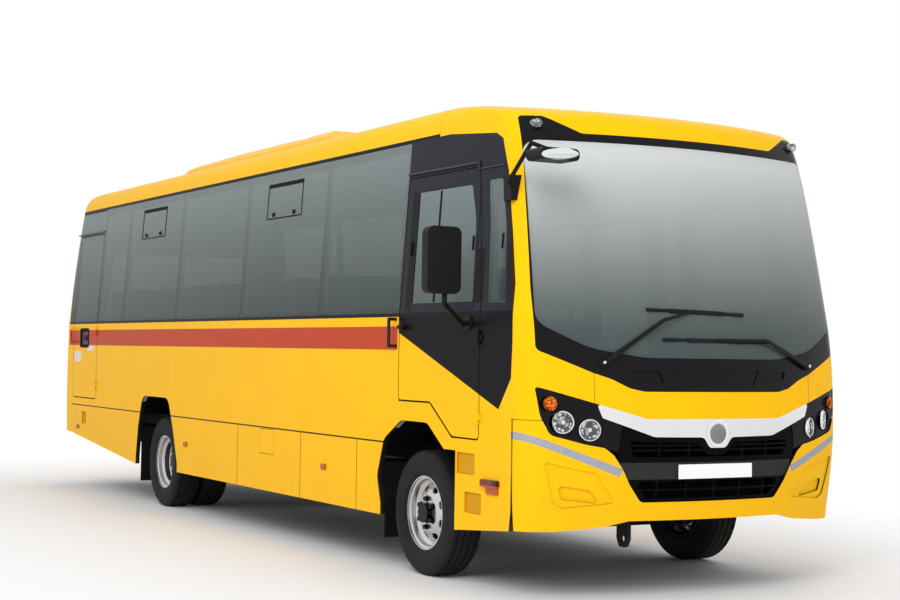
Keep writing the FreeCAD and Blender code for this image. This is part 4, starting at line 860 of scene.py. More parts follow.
STEPPING = Finish("step_vinyl", (0.10, 0.105, 0.11), 0.6, Grain.MOULDED, specular=0.2, shade=0.15)
DASH = Finish("dash_plastic", (0.05, 0.052, 0.055), 0.55, Grain.MOULDED, shade=0.08)
CLOTH = Finish("driver_cloth", (0.05, 0.052, 0.06), 0.9, Grain.WOVEN, shade=0.12, sheen=0.3)
VINYL = Finish("seat_vinyl", (0.17, 0.165, 0.12), 0.5, Grain.HIDE, coat=0.05, shade=0.12)
SEAT_PAINT = Finish("seat_frame_paint", (0.16, 0.165, 0.17), 0.4, Grain.PAINT, shade=0.08)
RAIL = Finish("rail_steel", (0.55, 0.55, 0.55), 0.25, Grain.BRUSHED, metallic=1.0, shade=0.05)
WHITE_PLATE = Finish("white_plate", (0.90, 0.90, 0.90), 0.35, Grain.PAINT, shade=0.01)
STICKER = Finish("pale_sticker", (0.75, 0.66, 0.6), 0.45, Grain.PAINT, shade=0.02)
GRILLE_BLACK = GrillePaint("grille_black", (0.003, 0.003, 0.0035), 0.4, Grain.MOULDED, specular=0.03,
                           shade=0.1)
MESH_BLACK = MeshPaint("mesh_black", (0.003, 0.003, 0.003), 0.5, Grain.MOULDED, specular=0.02, shade=0.1)
HANDLE_BLACK = Finish("handle_black", (0.011, 0.011, 0.012), 0.3, Grain.MOULDED, specular=0.3, shade=0.08)

NODE_FINISHES: dict[str, Finish] = {
    **{name: PAINT_SIDE for name in ("side_wall_right", "side_wall_left", "corner_panels", "skirt_panels",
                                     "driver_door", "emergency_door", "passenger_door")},
    "roof": PAINT_ROOF, "rear_wall": PAINT_REAR, "front_shell": PAINT_FRONT, "front_flap": PAINT_FRONT,
    "front_bumper": PAINT_BUMPER, "roof_unit": PAINT_PLAIN, "windscreen_surround": GLOSS_BLACK,
    "windows": SIDE_GLASS, "emergency_door_glass": SIDE_GLASS, "passenger_door_glass": SIDE_GLASS,
    "driver_door_glass": DOOR_GLASS, "windscreen": SCREEN_GLASS, "trim_bar": SATIN_CHROME,
    "headlamp_panels": GLOSS_BLACK, "grille": GRILLE_BLACK,
    **{name: CHASSIS for name in ("chassis_frame", "front_axle", "rear_axle", "driveline", "knuckle_right",
                                  "knuckle_left", "fuel_tank")},
    "leaf_springs": SPRING, "engine_block": IRON, "exhaust": EXHAUST, "mud_flaps": RUBBER_SEAL,
    "floor": FLOORING, "entrance_steps": STEPPING, "dashboard": DASH, "engine_cover": DASH,
    "steering_wheel": MOULDED_BLACK, "driver_seat": CLOTH, "seat_frames": SEAT_PAINT, "grab_rails": RAIL,
    "grab_handles": HANDLE_BLACK, "marker_lamps": SMALL_LAMPS, "mirror_door": MOULDED_BLACK,
    "mirrors_body": MOULDED_BLACK, "wipers": MOULDED_BLACK, "headlamps": CLEAR_LENS,
}


def start_fresh(*pieces: Piece) -> None:
    """Leave edit mode and deselect all but some pieces, of which the first becomes active.

    Args:
        pieces: the pieces, or none.
    """
    if bpy.context.object and bpy.context.object.mode != "OBJECT":
        bpy.ops.object.mode_set(mode="OBJECT")
    bpy.ops.object.select_all(action="DESELECT")
    for piece in pieces:
        piece.select_set(True)
        bpy.context.view_layer.objects.active = pieces[0]


def name_piece(name: str, finish: Finish) -> Piece:
    """Apply the active object's place, name it and give it a finish.

    Args:
        name: plain name.
        finish: its finish.

    Returns:
        The piece.
    """
    piece = bpy.context.object
    bpy.ops.object.transform_apply(location=True, rotation=True, scale=True)
    piece.name = name
    piece.data.name = name
    piece.data.materials.clear()
    piece.data.materials.append(finish.build())
    return piece


def apply_modifiers(piece: Piece) -> None:
    """Apply every modifier of a piece.

    Args:
        piece: the piece.
    """
    bpy.context.view_layer.objects.active = piece
    for modifier in list(piece.modifiers):
        bpy.ops.object.modifier_apply(modifier=modifier.name)


def bevelled(piece: Piece, width: float, segments: int = 2, degrees: float = 30.0) -> None:
    """Round a piece's edges over an angle.

    Args:
        piece: the piece.
        width: width of the bevel in metres.
        segments: faces across it.
        degrees: smallest angle that is rounded.
    """
    modifier = piece.modifiers.new("round", "BEVEL")
    modifier.width = width
    modifier.segments = segments
    modifier.limit_method = "ANGLE"
    modifier.angle_limit = math.radians(degrees)
    apply_modifiers(piece)


def smooth(piece: Piece, degrees: float = 35.0) -> None:
    """Shade a piece smooth below an angle.

    Args:
        piece: the piece.
        degrees: largest angle that is smoothed.
    """
    start_fresh(piece)
    bpy.ops.object.shade_smooth_by_angle(angle=math.radians(degrees))


def join(pieces: Sequence[Piece], name: str) -> Piece:
    """Join pieces into the first one and rename it.

    Args:
        pieces: the pieces.
        name: plain name.

    Returns:
        The joined piece.
    """
    start_fresh(*pieces)
    if len(pieces) > 1:
        bpy.ops.object.join()
    pieces[0].name = name
    pieces[0].data.name = name
    return pieces[0]


def copy_piece(piece: Piece, move: Matrix) -> Piece:
    """Copy of a piece with its own mesh, moved by a matrix.

    Args:
        piece: the piece.
        move: how the copy is moved.

    Returns:
        The copy.
    """
    twin = piece.copy()
    twin.data = piece.data.copy()
    twin.data.transform(move)
    if move.determinant() < 0:
        twin.data.flip_normals()
    bpy.context.scene.collection.objects.link(twin)
    return twin


def slab(name: str, size: Sequence[float], at: Sequence[float], finish: Finish, bevel: float = 0.003,
         turn: Sequence[float] = (0.0, 0.0, 0.0)) -> Piece:
    """Bevelled block.

    Args:
        name: plain name.
        size: full length along x, y and z in metres.
        at: its middle in the row frame.
        finish: its finish.
        bevel: width of its rounded edges.
        turn: Euler angles in radians about its middle.

    Returns:
        The piece.
    """
    start_fresh()
    bpy.ops.mesh.primitive_cube_add(size=1.0, location=at, rotation=turn)
    bpy.context.object.scale = size
    piece = name_piece(name, finish)
    bevelled(piece, min(bevel, min(size) * 0.45))
    return piece


def bar(name: str, start: Vector, end: Vector, width: float, thick: float, taper: float,
        finish: "Finish | None" = None) -> Piece:
    """Bevelled bar between two points in front of the screen.

    Args:
        name: plain name.
        start: middle of its first end.
        end: middle of its second end.
        width: its width across the screen.
        thick: its thickness off the screen.
        taper: width of the second end as a share of the first.
        finish: its finish, black moulding when none is given.

    Returns:
        The bar.
    """
    start_fresh()
    along = (end - start).normalized()
    across = Vector((1.0, 0.0, 0.3)).cross(along).normalized()
    bpy.ops.mesh.primitive_cube_add(size=1.0)
    bpy.context.object.scale = ((end - start).length, width, thick)
    piece = name_piece(name, finish or MOULDED_BLACK)
    if select_faces(piece, lambda face: face.normal.x > 0.9):
        bpy.ops.transform.resize(value=(1.0, taper, taper))
    bpy.ops.object.mode_set(mode="OBJECT")
    bevelled(piece, min(width, thick) * 0.25)
    turn = Matrix((along, across, along.cross(across))).transposed().to_4x4()
    piece.data.transform(Matrix.Translation((start + end) / 2) @ turn)
    return piece


def spun(name: str, profile: Sequence[Pair], finish: Finish, at: Sequence[float], axis: Vector,
         steps: int = 48, closed: bool = False) -> Piece:
    """Piece of revolution.

    Args:
        name: plain name.
        profile: (radius, distance along the axis) points in metres.
        finish: its finish.
        at: origin of the axis in the row frame.
        axis: direction of the axis.
        steps: number of steps round.
        closed: whether the profile's last point joins its first.

    Returns:
        The piece.
    """
    mesh = bpy.data.meshes.new(name)
    edges = [(i, i + 1) for i in range(len(profile) - 1)]
    if closed:
        edges.append((len(profile) - 1, 0))
    mesh.from_pydata([(radius, 0.0, along) for radius, along in profile], edges, [])
    piece = bpy.data.objects.new(name, mesh)
    bpy.context.scene.collection.objects.link(piece)
    start_fresh(piece)
    bpy.ops.object.mode_set(mode="EDIT")
    bpy.ops.mesh.select_all(action="SELECT")
    bpy.ops.mesh.spin(steps=steps, angle=2 * math.pi, center=(0, 0, 0), axis=(0, 0, 1))
    bpy.ops.mesh.select_all(action="SELECT")
    bpy.ops.mesh.remove_doubles(threshold=0.00002)
    bpy.ops.mesh.normals_make_consistent(inside=False)
    bpy.ops.object.mode_set(mode="OBJECT")
    turn = axis.to_track_quat("Z", "X").to_matrix().to_4x4()
    mesh.transform(Matrix.Translation(Vector(at)) @ turn)
    piece = name_piece(name, finish)
    smooth(piece, 40.0)
    return piece


def select_faces(piece: Piece, test: Callable[[bpy.types.MeshPolygon], bool]) -> int:
    """Select the faces of the active piece that pass a test, and enter edit mode.

    Args:
        piece: object to select on.
        test: chooses a face by its place or normal.

    Returns:
        How many faces are selected.
    """
    start_fresh(piece)
    bpy.ops.object.mode_set(mode="EDIT")
    bpy.ops.mesh.select_mode(type="FACE")
    bpy.ops.mesh.select_all(action="DESELECT")
    bpy.ops.object.mode_set(mode="OBJECT")
    count = 0
    for face in piece.data.polygons:
        face.select = bool(test(face))
        count += face.select
    bpy.ops.object.mode_set(mode="EDIT")
    return count


def side_y(z: float, proud: float = 0.0) -> float:
    """Distance of the body side from the middle at a height, plus what stands proud."""
    return HALF_WIDTH - TUMBLEHOME * max(0.0, z - BELT_Z) + proud


def surface_x(y: float, z: float, nodes: Iterable[str], forward: float = 1.0) -> float:
    """Where a line along X first meets the outside of some CAD nodes.

    Args:
        y: place across.
        z: height.
        nodes: names of the nodes to hit.
        forward: 1 for the front of the bus, -1 for the rear.

    Returns:
        The x of the surface, or the middle of the first node when the line misses all.
    """
    best = None
    start, along = Vector((forward * 8.0, y, z)), Vector((-forward, 0.0, 0.0))
    for node in nodes:
        hit, place, _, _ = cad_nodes()[node].ray_cast(start, along)
        if hit and (best is None or place.x * forward > best * forward):
            best = place.x
    if best is None:
        low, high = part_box(next(iter(nodes)))
        return (high[0] if forward > 0 else low[0])
    return best


def hand_over(piece: Piece, body: str = BODY, node: str = "") -> None:
    """Tell the frame about a finished piece.

    Args:
        piece: the piece.
        body: body that it rides on.
        node: CAD node that it stands for, if any.
    """
    if node:
        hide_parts(node)
    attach(piece, body)
    LOG.info("%s", piece.name)


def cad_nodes() -> dict[str, Piece]:
    """CAD nodes by name."""
    return FRAME["nodes"]


FRAME: dict = {}


@dataclass
class Tyres:
    """The six tyres, with ribs, grooves, shoulder slits and rounded walls."""

    radius: float = 0.4
    width: float = 0.235
    rim: float = 0.2365
    groove: float = 0.009
    steps: int = 96

    def profile(self) -> list[Pair]:
        """Section of a tyre.

        Returns:
            Its closed outline as (radius, place along the axle).
        """
        half, r = self.width / 2, self.radius
        wall = [(self.rim, half - 0.02), (self.rim + 0.012, half - 0.012), (self.rim + 0.022, half - 0.006),
                (self.rim + 0.03, half - 0.0075), (self.rim + 0.06, half - 0.001), (self.rim + 0.085, half),
                (self.rim + 0.088, half - 0.003), (self.rim + 0.11, half - 0.004), (r - 0.034, half - 0.006),
                (r - 0.016, half - 0.013), (r - 0.005, half - 0.024)]
        ribs = [(r - 0.0015, half - 0.034)]
        for centre in (0.066, 0.024):
            crown = 0.0015 if centre > 0.05 else 0.0
            for offset, depth in ((0.0048, 0.0), (0.0032, self.groove), (-0.0032, self.groove),
                                  (-0.0048, 0.0)):
                ribs.append((r - crown - depth, centre + offset))
        half_section = wall + ribs
        return half_section + [(radius, -along) for radius, along in reversed(half_section)]

    def build(self) -> None:
        """Make one tyre, copy it to each wheel and replace the CAD tyres."""
        axle = Vector((0, 1, 0))
        tyre = spun("tyre", self.profile(), TYRE_RUBBER, (0, 0, 0), axle, self.steps, closed=True)
        shoulder = self.width / 2 - 0.05

        def slit(face: bpy.types.MeshPolygon) -> bool:
            """Every other face of the two outer ribs.

            Args:
                face: face of the tyre.

            Returns:
                Whether it is a slit.
            """
            centre = face.center
            radius = math.hypot(centre.x, centre.z)
            turn = int((math.atan2(centre.z, centre.x) / (2 * math.pi) + 1.0) * self.steps)
            return radius > self.radius - 0.004 and abs(centre.y) > shoulder - 0.012 and turn % 2 == 0

        if select_faces(tyre, slit):
            bpy.ops.mesh.inset(thickness=0.0035, depth=-0.005, use_individual=True)
        bpy.ops.object.mode_set(mode="OBJECT")
        smooth(tyre, 32.0)
        for wheel, (x, y) in WHEELS.items():
            node = wheel.replace("wheels", "tyres").replace("wheel", "tyre")
            twins = [copy_piece(tyre, Matrix.Translation((x, y, AXLE_Z)))]
            if "rear" in wheel:
                inner = y - math.copysign(TWIN, y)
                twins.append(copy_piece(tyre, Matrix.Translation((x, inner, AXLE_Z))))
            hand_over(join(twins, node + "_tread"), wheel, node)
        bpy.data.objects.remove(tyre)


@dataclass
class Benches:
    """Padded double seats in two files."""

    pitch: float = 0.72
    right_x: float = -3.32
    left_x: float = -4.04
    rows: int = 8
    inner_y: float = 0.33
    outer_y: float = 1.12
    cushion_z: Pair = (1.29, 1.38)
    depth: float = 0.42
    back_top: float = 1.98

    def pad(self, name: str, size: Sequence[float], crown: float) -> Piece:
        """Crowned pad about the origin, pulled in between its corners and sewn apart into two places.

        Args:
            name: plain name.
            size: length along x, y and z.
            crown: how much the faces swell, in metres.

        Returns:
            The pad.
        """
        start_fresh()
        bpy.ops.mesh.primitive_cube_add(size=1.0)
        pad = bpy.context.object
        pad.scale = [s - 0.012 for s in size]
        name_piece(name, VINYL)
        bpy.ops.object.mode_set(mode="EDIT")
        bpy.ops.mesh.select_all(action="SELECT")
        bpy.ops.mesh.subdivide(number_cuts=15)
        bpy.ops.object.mode_set(mode="OBJECT")
        half = [s / 2 - 0.006 for s in size]
        for vertex in pad.data.vertices:
            u, v, w = (vertex.co[i] / half[i] for i in range(3))
            bulge = (1 - u ** 4) * (1 - v ** 4)
            channel = math.exp(-(v * half[1] / 0.012) ** 2)
            inner = max(0.0, 1 - (w * w)) * 0.35
            swell = crown * (bulge - 0.9 * channel * (1 - u ** 6))
            vertex.co.z += math.copysign(1, w) * (abs(w) ** 3) * swell
            pull = 1 - 0.012 * (1 - w * w) - 0.02 * inner * (1 - abs(v) ** 3)
            vertex.co.x *= pull
            seam = math.exp(-((abs(v) - 0.5) * half[1] / 0.006) ** 2)
            vertex.co.z -= math.copysign(1, w) * (abs(w) ** 8) * 0.0025 * seam
        bevelled(pad, 0.012, 3, 50.0)
        smooth(pad, 80.0)
        return pad

    def build(self) -> None:
        """Make the two pads once and copy them to every row."""
        width = self.outer_y - self.inner_y
        thick = self.cushion_z[1] - self.cushion_z[0]
        cushion = self.pad("cushion", (self.depth - 0.02, width, thick), 0.010)
        height = self.back_top - self.cushion_z[1] + 0.02
        back = self.pad("backrest", (height, width, 0.085), 0.010)
        middle_y, middle_z = (self.inner_y + self.outer_y) / 2, sum(self.cushion_z) / 2
        back_z = (self.cushion_z[1] + self.back_top) / 2 - 0.004
        lean = Matrix.Rotation(math.radians(-90 + 6.3), 4, "Y")
        for side, start in ((Side.RIGHT, self.right_x), (Side.LEFT, self.left_x)):
            pads = []
            for row in range(self.rows):
                x = start + row * self.pitch
                y = side.value * middle_y
                seat_place = Matrix.Translation((x + self.depth / 2 + 0.012, y, middle_z))
                back_place = Matrix.Translation((x - 0.077, y, back_z)) @ lean
                pads += [copy_piece(cushion, seat_place), copy_piece(back, back_place)]
            label = side.name.lower()
            piece = join(pads, f"seat_pads_{label}_padded")
            hand_over(piece, BODY, f"seat_pads_{label}")
        for spare in (cushion, back):
            bpy.data.objects.remove(spare)


@dataclass
class Lamps:
    """Headlamps with bowls, inner rings, bulb caps and lenses."""

    places: Boxes = (
        (0.991, 1.040, 0.068, 40.0), (0.836, 0.996, 0.066, 30.0), (1.066, 1.146, 0.042, 60.0))

    def lamp(self, y: float, z: float, radius: float, toe: float, side: Side) -> dict[str, Piece]:
        """One lamp.

        Args:
            y: distance from the middle.
            z: height.
            radius: of the lens.
            toe: angle that it turns outward, in degrees.
            side: side of the bus.

        Returns:
            Its bowl, cap, ring and lens by name.
        """
        axis = Vector((math.cos(math.radians(toe)), side.value * math.sin(math.radians(toe)), 0.0))
        face = surface_x(side.value * y, z, ("headlamps",))
        at = Vector((face, side.value * y, z)) - axis * 0.05
        amber = AMBER_LENS if radius < 0.05 else None
        bowl = [(0.004, 0.020), (radius * 0.35, 0.021), (radius * 0.50, 0.026), (radius * 0.54, 0.031),
                (radius * 0.58, 0.028), (radius * 0.74, 0.034), (radius * 0.86, 0.041)]
        cap = [(0.0, 0.041), (radius * 0.16, 0.039), (radius * 0.24, 0.034), (radius * 0.26, 0.026),
               (0.004, 0.022)]
        ring = [(radius * 0.84, 0.034), (radius * 0.84, 0.046), (radius * 0.88, 0.049),
                (radius * 0.96, 0.047), (radius * 0.995, 0.040), (radius * 0.995, 0.034)]
        lens = [(0.0, 0.052), (radius * 0.4, 0.0512), (radius * 0.75, 0.0490), (radius * 0.83, 0.0465),
                (radius * 0.83, 0.0450), (radius * 0.6, 0.0480), (0.0, 0.0500)]
        return {"bowls": spun("bowl", bowl, amber or REFLECTOR, at, axis, 40),
                "caps": spun("cap", cap, amber or REFLECTOR_CORE, at, axis, 24),
                "rings": spun("ring", ring, amber or CHROME, at, axis, 40, closed=True),
                "lenses": spun("lens", lens, amber or CLEAR_LENS, at, axis, 40)}

    def build(self) -> None:
        """Make both clusters and replace the plain lamps."""
        lamps = [self.lamp(*place, side) for side in Side for place in self.places]
        for part in lamps[0]:
            piece = join([lamp[part] for lamp in lamps], "headlamp_" + part)
            hand_over(piece, BODY, "headlamps" if part == "bowls" else "")


@dataclass
class FrontTrim:
    """Number plate, round badge plate and mesh behind the grille."""

    plate_half: float = 0.275
    plate_z: Pair = (0.709, 0.794)
    badge_z: float = 0.974
    mesh_half: float = 0.63
    mesh_z: Pair = (0.585, 1.0)
    mesh_depth: float = 0.085
    ring: Pairs = (
        (0.060, 0.0), (0.079, 0.0), (0.082, 0.004), (0.078, 0.0065), (0.067, 0.0065), (0.062, 0.004))
    dish: Pairs = ((0.0, 0.0055), (0.03, 0.0053), (0.052, 0.004), (0.0615, 0.001))

    def badge(self) -> None:
        """Silver ring round a bare dark plate."""
        at = (surface_x(0.0, self.badge_z, ("trim_bar",)) - 0.002, 0.0, self.badge_z)
        for name, profile, finish, closed in (("badge_ring", self.ring, SATIN_CHROME, True),
                                              ("badge_plate", self.dish, DARK_CHROME, False)):
            hand_over(spun(name, profile, finish, at, AHEAD, 56, closed), BODY)

    def mesh(self) -> None:
        """Black mesh on the grille's plan curve, just behind it."""
        start_fresh()
        low, high = self.mesh_z
        bpy.ops.mesh.primitive_grid_add(x_subdivisions=10, y_subdivisions=36, size=1.0)
        bpy.context.object.scale = (high - low, 2 * self.mesh_half, 1.0)
        piece = name_piece("grille_mesh", MESH_BLACK)
        face = surface_x(0.0, 0.8, ("grille",)) - self.mesh_depth
        for vertex in piece.data.vertices:
            up, across = vertex.co.x, vertex.co.y
            reach = 1.0 - 0.2 * max(0.0, -up / (high - low) - 0.2)
            vertex.co = (face - 0.175 * across * across, across * reach, (low + high) / 2 + up)
        modifier = piece.modifiers.new("thickness", "SOLIDIFY")
        modifier.thickness = 0.004
        modifier.offset = 0.0
        apply_modifiers(piece)
        smooth(piece)
        hand_over(piece, BODY)

    def build(self) -> None:
        """Make the pieces of the front."""
        z = sum(self.plate_z) / 2
        x = surface_x(0.0, z, ("grille",))
        plate = slab("number_plate", (0.004, 2 * self.plate_half, self.plate_z[1] - self.plate_z[0]),
                     (x + 0.006, 0.0, z), WHITE_PLATE, 0.002)
        hand_over(plate)
        self.badge()
        self.mesh()


@dataclass
class Wipers:
    """Two wipers with flat arms, blades and silver pivot caps."""

    sweeps: tuple[Pairs, ...] = (
        ((-0.765, 1.380), (-0.370, 1.640), (-0.466, 1.699), (0.235, 1.682)),
        ((0.790, 1.372), (0.400, 1.528), (-0.377, 1.525), (0.406, 1.517)))
    boss: Pairs = (
        (0.0, 0.034), (0.012, 0.033), (0.019, 0.026), (0.022, 0.0), (0.0, -0.006))
    cap: Pairs = (
        (0.0, 0.043), (0.007, 0.042), (0.010, 0.038), (0.010, 0.032), (0.0, 0.030))
    lean: tuple[float, float, float] = (1.0, 0.0, 0.2)

    def on_screen(self, place: Pair, proud: float) -> Vector:
        """Point that stands off the screen or its surround at a (y, z) place."""
        y, z = place
        return Vector((surface_x(y, z, ("windscreen", "windscreen_surround")) + proud, y, z))

    def build(self) -> None:
        """Make both wipers and replace the plain ones."""
        parts, caps = [], []
        for pivot, knee, tip_a, tip_b in self.sweeps:
            root = self.on_screen(pivot, 0.026)
            bend = self.on_screen(knee, 0.034)
            left, right = self.on_screen(tip_a, 0.014), self.on_screen(tip_b, 0.014)
            middle = left.lerp(right, 0.48) + Vector((0.016, 0.0, 0.008))
            spine = [left.lerp(right, share) + AHEAD * 0.010 for share in (0.22, 0.78)]
            parts += [bar("wiper_arm", root, bend, 0.030, 0.014, 0.75),
                      bar("wiper_link", bend, middle, 0.021, 0.010, 0.7),
                      bar("wiper_blade", left, right, 0.019, 0.013, 1.0),
                      bar("wiper_spine", *spine, 0.026, 0.010, 1.0)]
            foot = self.on_screen(pivot, 0.0)
            parts.append(spun("wiper_boss", self.boss, MOULDED_BLACK, foot, Vector(self.lean), 24))
            caps.append(spun("wiper_cap", self.cap, CHROME, foot, Vector(self.lean), 20))
        hand_over(join(parts, "wiper_blades_and_arms"), BODY, "wipers")
        hand_over(join(caps, "wiper_caps"), BODY)


@dataclass
class SideDetail:
    """Hopper vents, drip rails, slider bars, latches, blank stickers and the emergency door's latch."""

    vents: Pairs = ((0.478, 1.130), (-2.480, -1.850))
    vent_z: Pair = (2.440, 2.717)
    door_glass_z: Pair = (1.745, 2.455)

    def strip(self, x: Pair, z: Pair, side: Side, proud: float = 0.004,
              finish: Finish = RUBBER_SEAL, thick: float = 0.008) -> Piece:
        """Bar that lies on the body side.

        Args:
            x: its ends along the bus, at the photograph's stations.
            z: its lower and upper edge.
            side: side of the bus.
            proud: how far its outer face stands out.
            finish: its finish.
            thick: its thickness.

        Returns:
            The bar.
        """
        middle_z = sum(z) / 2
        y = side.value * (side_y(middle_z, proud) - thick / 2)
        lean = side.value * math.atan(TUMBLEHOME) if middle_z > BELT_Z else 0.0
        return slab("strip", (x[1] - x[0], thick, z[1] - z[0]), (sum(x) / 2 + STATION, y, middle_z), finish,
                    min(0.003, thick / 3), (lean, 0.0, 0.0))

    def frame(self, x: Pair, z: Pair, width: float, side: Side,
              top: float = 0.0) -> list[Piece]:
        """Four bars round an opening, the upper one as high as asked.

        Args:
            x: the opening's ends along the bus.
            z: its lower and upper edge.
            width: width of the bars.
            side: side of the bus.
            top: height of the upper bar.

        Returns:
            The bars.
        """
        bars = ((x, (z[0], z[0] + width)), (x, (z[1] - max(width, top), z[1])),
                ((x[0], x[0] + width), z), ((x[1] - width, x[1]), z))
        return [self.strip(*ends, side) for ends in bars]

    def vent(self, rear: float, front: float, side: Side) -> list[Piece]:
        """Frame of one hopper vent with its top bar and two latches.

        Args:
            rear: its rear end.
            front: its front end.
            side: side of the bus.

        Returns:
            The bars.
        """
        low = self.vent_z[0] + 0.02
        middle = (rear + front) / 2
        latches = [self.strip((middle + dx - 0.02, middle + dx + 0.02), (low, low + 0.03), side, 0.010)
                   for dx in (-0.19, 0.19)]
        return self.frame((rear, front), self.vent_z, 0.009, side, 0.030) + latches

    def build(self) -> None:
        """Make the details of both sides."""
        vents = [piece for side in Side for ends in self.vents for piece in self.vent(*ends, side)]
        right = Side.RIGHT
        low, high = self.door_glass_z
        rails = [self.strip((2.83, 3.735), (2.585, 2.600), right, 0.014, HANDLE_BLACK, 0.02),
                 self.strip((3.735, 3.75), (2.548, 2.600), right, 0.012, HANDLE_BLACK, 0.016),
                 self.strip((3.75, 4.03), (2.548, 2.558), right, 0.008, HANDLE_BLACK, 0.012),
                 self.strip((-4.49, -3.62), (2.577, 2.590), right, 0.012, HANDLE_BLACK, 0.016),
                 self.strip((4.07, 4.083), (2.05, 2.14), right, 0.010)]
        door = [self.strip((3.270, 3.290), (low, high), right),
                self.strip((2.985, 2.999), (low, high), right),
                self.strip((3.725, 3.740), (2.055, 2.145), right, 0.010),
                self.strip((2.93, 2.945), (2.055, 2.145), right, 0.010)]
        ring = self.frame((-4.185, -3.895), (1.420, 1.610), 0.030, right)
        ring += [self.strip((-4.10, -3.98), (1.490, 1.540), right, 0.002, MOULDED_BLACK)]
        seams = [self.strip((x, x + 0.004), (0.45, 1.05), side, 0.0016, RUBBER_SEAL, 0.004)
                 for side in Side for x in (4.245, 4.253)]
        stickers = [self.strip((-4.37, -4.15), (1.27, 1.38), right, 0.0012, STICKER, 0.0016),
                    self.strip((-3.93, -3.725), (1.385, 1.435), right, 0.0012, STICKER, 0.0016)]
        for name, pieces, body in (("hopper_vents", vents, BODY), ("drip_rails", rails, BODY),
                                   ("driver_window_bars", door, "driver_door"),
                                   ("emergency_latch", ring, "emergency_door"),
                                   ("corner_seam_strips", seams, BODY),
                                   ("blank_stickers", stickers, "emergency_door")):
            hand_over(join(pieces, name), body)


@dataclass
class Mirrors:
    """Mirror glass of the outer mirrors."""

    panes: tuple[tuple[str, float, float, float, str], ...] = (
        ("mirror_pane_right", 3.84, -1.447, 1.978, "driver_door"),
        ("mirror_pane_left", 3.64, 1.447, 1.978, BODY))
    oval: Pairs = (
        (0.0, 0.020), (0.045, 0.018), (0.085, 0.011), (0.112, 0.002), (0.116, -0.004))
    oval_at: tuple[float, float, float] = (4.610, -1.098, 2.565)
    oval_scale: tuple[float, float, float] = (1.0, 1.12, 0.30)

    def build(self) -> None:
        """Set a pane into the back of each housing, and one under the high mirror."""
        for name, x, y, z, body in self.panes:
            hand_over(slab(name, (0.004, 0.19, 0.35), (x - 0.0015, y, z), MIRROR_GLASS, 0.0015), body)
        high = spun("high_mirror_pane", self.oval, MIRROR_GLASS, (0.0, 0.0, 0.0), AHEAD)
        lift = Matrix.Translation(self.oval_at) @ Matrix.Rotation(math.radians(4.0), 4, "X")
        high.data.transform(lift @ Matrix.Diagonal((*self.oval_scale, 1.0)))
        hand_over(high)


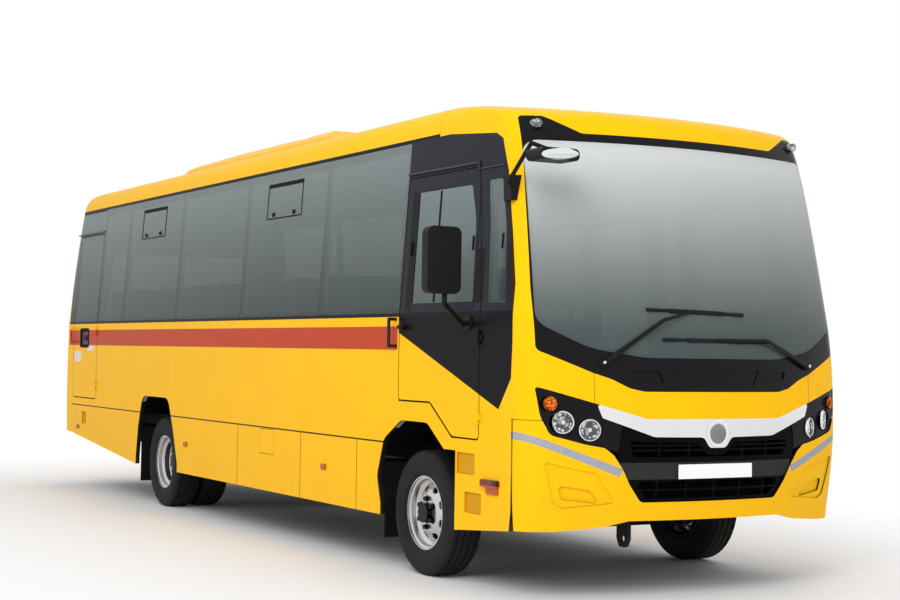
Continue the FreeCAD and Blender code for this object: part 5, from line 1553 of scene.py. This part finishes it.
@dataclass
class Studio:
    """Pale floor, soft lights, white surroundings and the photograph's camera."""

    camera_at: tuple[float, float, float] = (12.311, -6.178, 1.439)
    lens: float = 65.2
    yaw: float = 29.60
    pitch: float = 1.79
    roll: float = 0.88
    world_light: float = 0.80
    floor_grey: float = 0.84
    half_size: Pair = (4.6, 1.15)
    fade: Pair = (0.3, 3.7)

    def world(self) -> None:
        """White behind the bus and in its reflections, and a softer even light on it."""
        world = bpy.data.worlds.new("studio")
        world.use_nodes = True
        tree = world.node_tree
        lit, white = tree.nodes["Background"], tree.nodes.new("ShaderNodeBackground")
        for node, strength in ((lit, self.world_light), (white, 1.0)):
            node.inputs["Color"].default_value = (1.0, 1.0, 1.0, 1.0)
            node.inputs["Strength"].default_value = strength
        path = tree.nodes.new("ShaderNodeLightPath")
        seen = (Field(tree, path.outputs["Is Camera Ray"]) | Field(tree, path.outputs["Is Glossy Ray"])
                | Field(tree, path.outputs["Is Transmission Ray"]))
        either = blend(tree, seen, lit.outputs[0], white.outputs[0])
        tree.links.new(either, tree.nodes["World Output"].inputs["Surface"])
        bpy.context.scene.world = world

    def floor(self) -> None:
        """Pale floor that keeps the soft shadow near the bus and turns white further away."""
        start_fresh()
        bpy.ops.mesh.primitive_plane_add(size=160.0, location=(0, 0, 0))
        floor = bpy.context.object
        floor.name = "floor_stage"
        material = bpy.data.materials.new("studio_floor")
        material.use_nodes = True
        tree = material.node_tree
        shader = tree.nodes["Principled BSDF"]
        shader.inputs["Base Color"].default_value = (*(self.floor_grey,) * 3, 1.0)
        shader.inputs["Roughness"].default_value = 0.8
        shader.inputs["Specular IOR Level"].default_value = 0.1
        camera_ray = Field(tree, tree.nodes.new("ShaderNodeLightPath").outputs["Is Camera Ray"])
        x, y, _, _ = coordinates(tree)
        along = (x.math("ABSOLUTE") - self.half_size[0]).math("MAXIMUM", 0.0)
        across = (y.math("ABSOLUTE") - self.half_size[1]).math("MAXIMUM", 0.0)
        distance = (across * across + along * along).math("SQRT")
        white = tree.nodes.new("ShaderNodeEmission")
        white.inputs["Strength"].default_value = 1.0
        share = distance.ramp(*self.fade).math("POWER", 0.8) * camera_ray
        fade = blend(tree, share, shader.outputs[0], white.outputs[0])
        tree.links.new(fade, tree.nodes["Material Output"].inputs["Surface"])
        floor.data.materials.append(material)

    def lights(self) -> None:
        """Soft key from the right front and a weaker fill from the left rear."""
        for name, at, size, power, aim in (("key", (12.0, -10.0, 10.0), 8.0, 1300.0, (1.0, 0.0, 1.2)),
                                           ("fill", (-7.0, 12.0, 9.0), 8.0, 400.0, (-1.0, 0.0, 1.2))):
            light = bpy.data.lights.new(name, "AREA")
            light.size = size
            light.energy = power
            holder = bpy.data.objects.new(name, light)
            holder.location = at
            holder.rotation_euler = (Vector(aim) - Vector(at)).to_track_quat("-Z", "Y").to_euler()
            holder.visible_glossy = False
            bpy.context.scene.collection.objects.link(holder)

    def camera(self) -> None:
        """Place the camera that the photograph was taken from."""
        yaw, pitch, roll = (math.radians(a) for a in (self.yaw, self.pitch, self.roll))
        level = Vector((-math.cos(yaw), math.sin(yaw), 0.0))
        across = Vector((math.sin(yaw), math.cos(yaw), 0.0))
        ahead = level * math.cos(pitch) + Vector((0, 0, math.sin(pitch)))
        up = Vector((0, 0, math.cos(pitch))) - level * math.sin(pitch)
        right = across * math.cos(roll) + up * math.sin(roll)
        top = up * math.cos(roll) - across * math.sin(roll)
        data = bpy.data.cameras.new("camera")
        data.lens = self.lens
        data.sensor_width = 36.0
        data.clip_end = 300.0
        holder = bpy.data.objects.new("camera", data)
        turn = Matrix((right, top, -ahead)).transposed().to_4x4()
        holder.matrix_world = Matrix.Translation(Vector(self.camera_at)) @ turn
        bpy.context.scene.collection.objects.link(holder)
        bpy.context.scene.camera = holder

    def build(self) -> None:
        """Make the surroundings and the camera."""
        self.floor()
        self.world()
        self.lights()
        bpy.context.scene.view_settings.view_transform = "Standard"
        self.camera()
        LOG.info("studio")


def dress_nodes() -> None:
    """Give every CAD node its finish."""
    for name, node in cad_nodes().items():
        if name in WHEELS:
            finish = WheelPaint("wheel_front" if "front" in name else "wheel_rear", (0.62, 0.62, 0.63), 0.24,
                                Grain.BRUSHED, metallic=0.95, shade=0.10, dust=0.05, axle_x=WHEELS[name][0])
        else:
            finish = NODE_FINISHES.get(name)
        if finish is None:
            continue
        node.data.materials.clear()
        node.data.materials.append(finish.build())


def main() -> None:
    """Load the frame, dress it, add the pieces and set the studio."""
    logging.basicConfig(level=logging.INFO)
    FRAME.update(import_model())
    dress_nodes()
    for assembly in (Tyres(), Benches(), Lamps(), FrontTrim(), Wipers(), SideDetail(), Mirrors()):
        assembly.build()
    Studio().build()


if __name__ == "__main__":
    main()
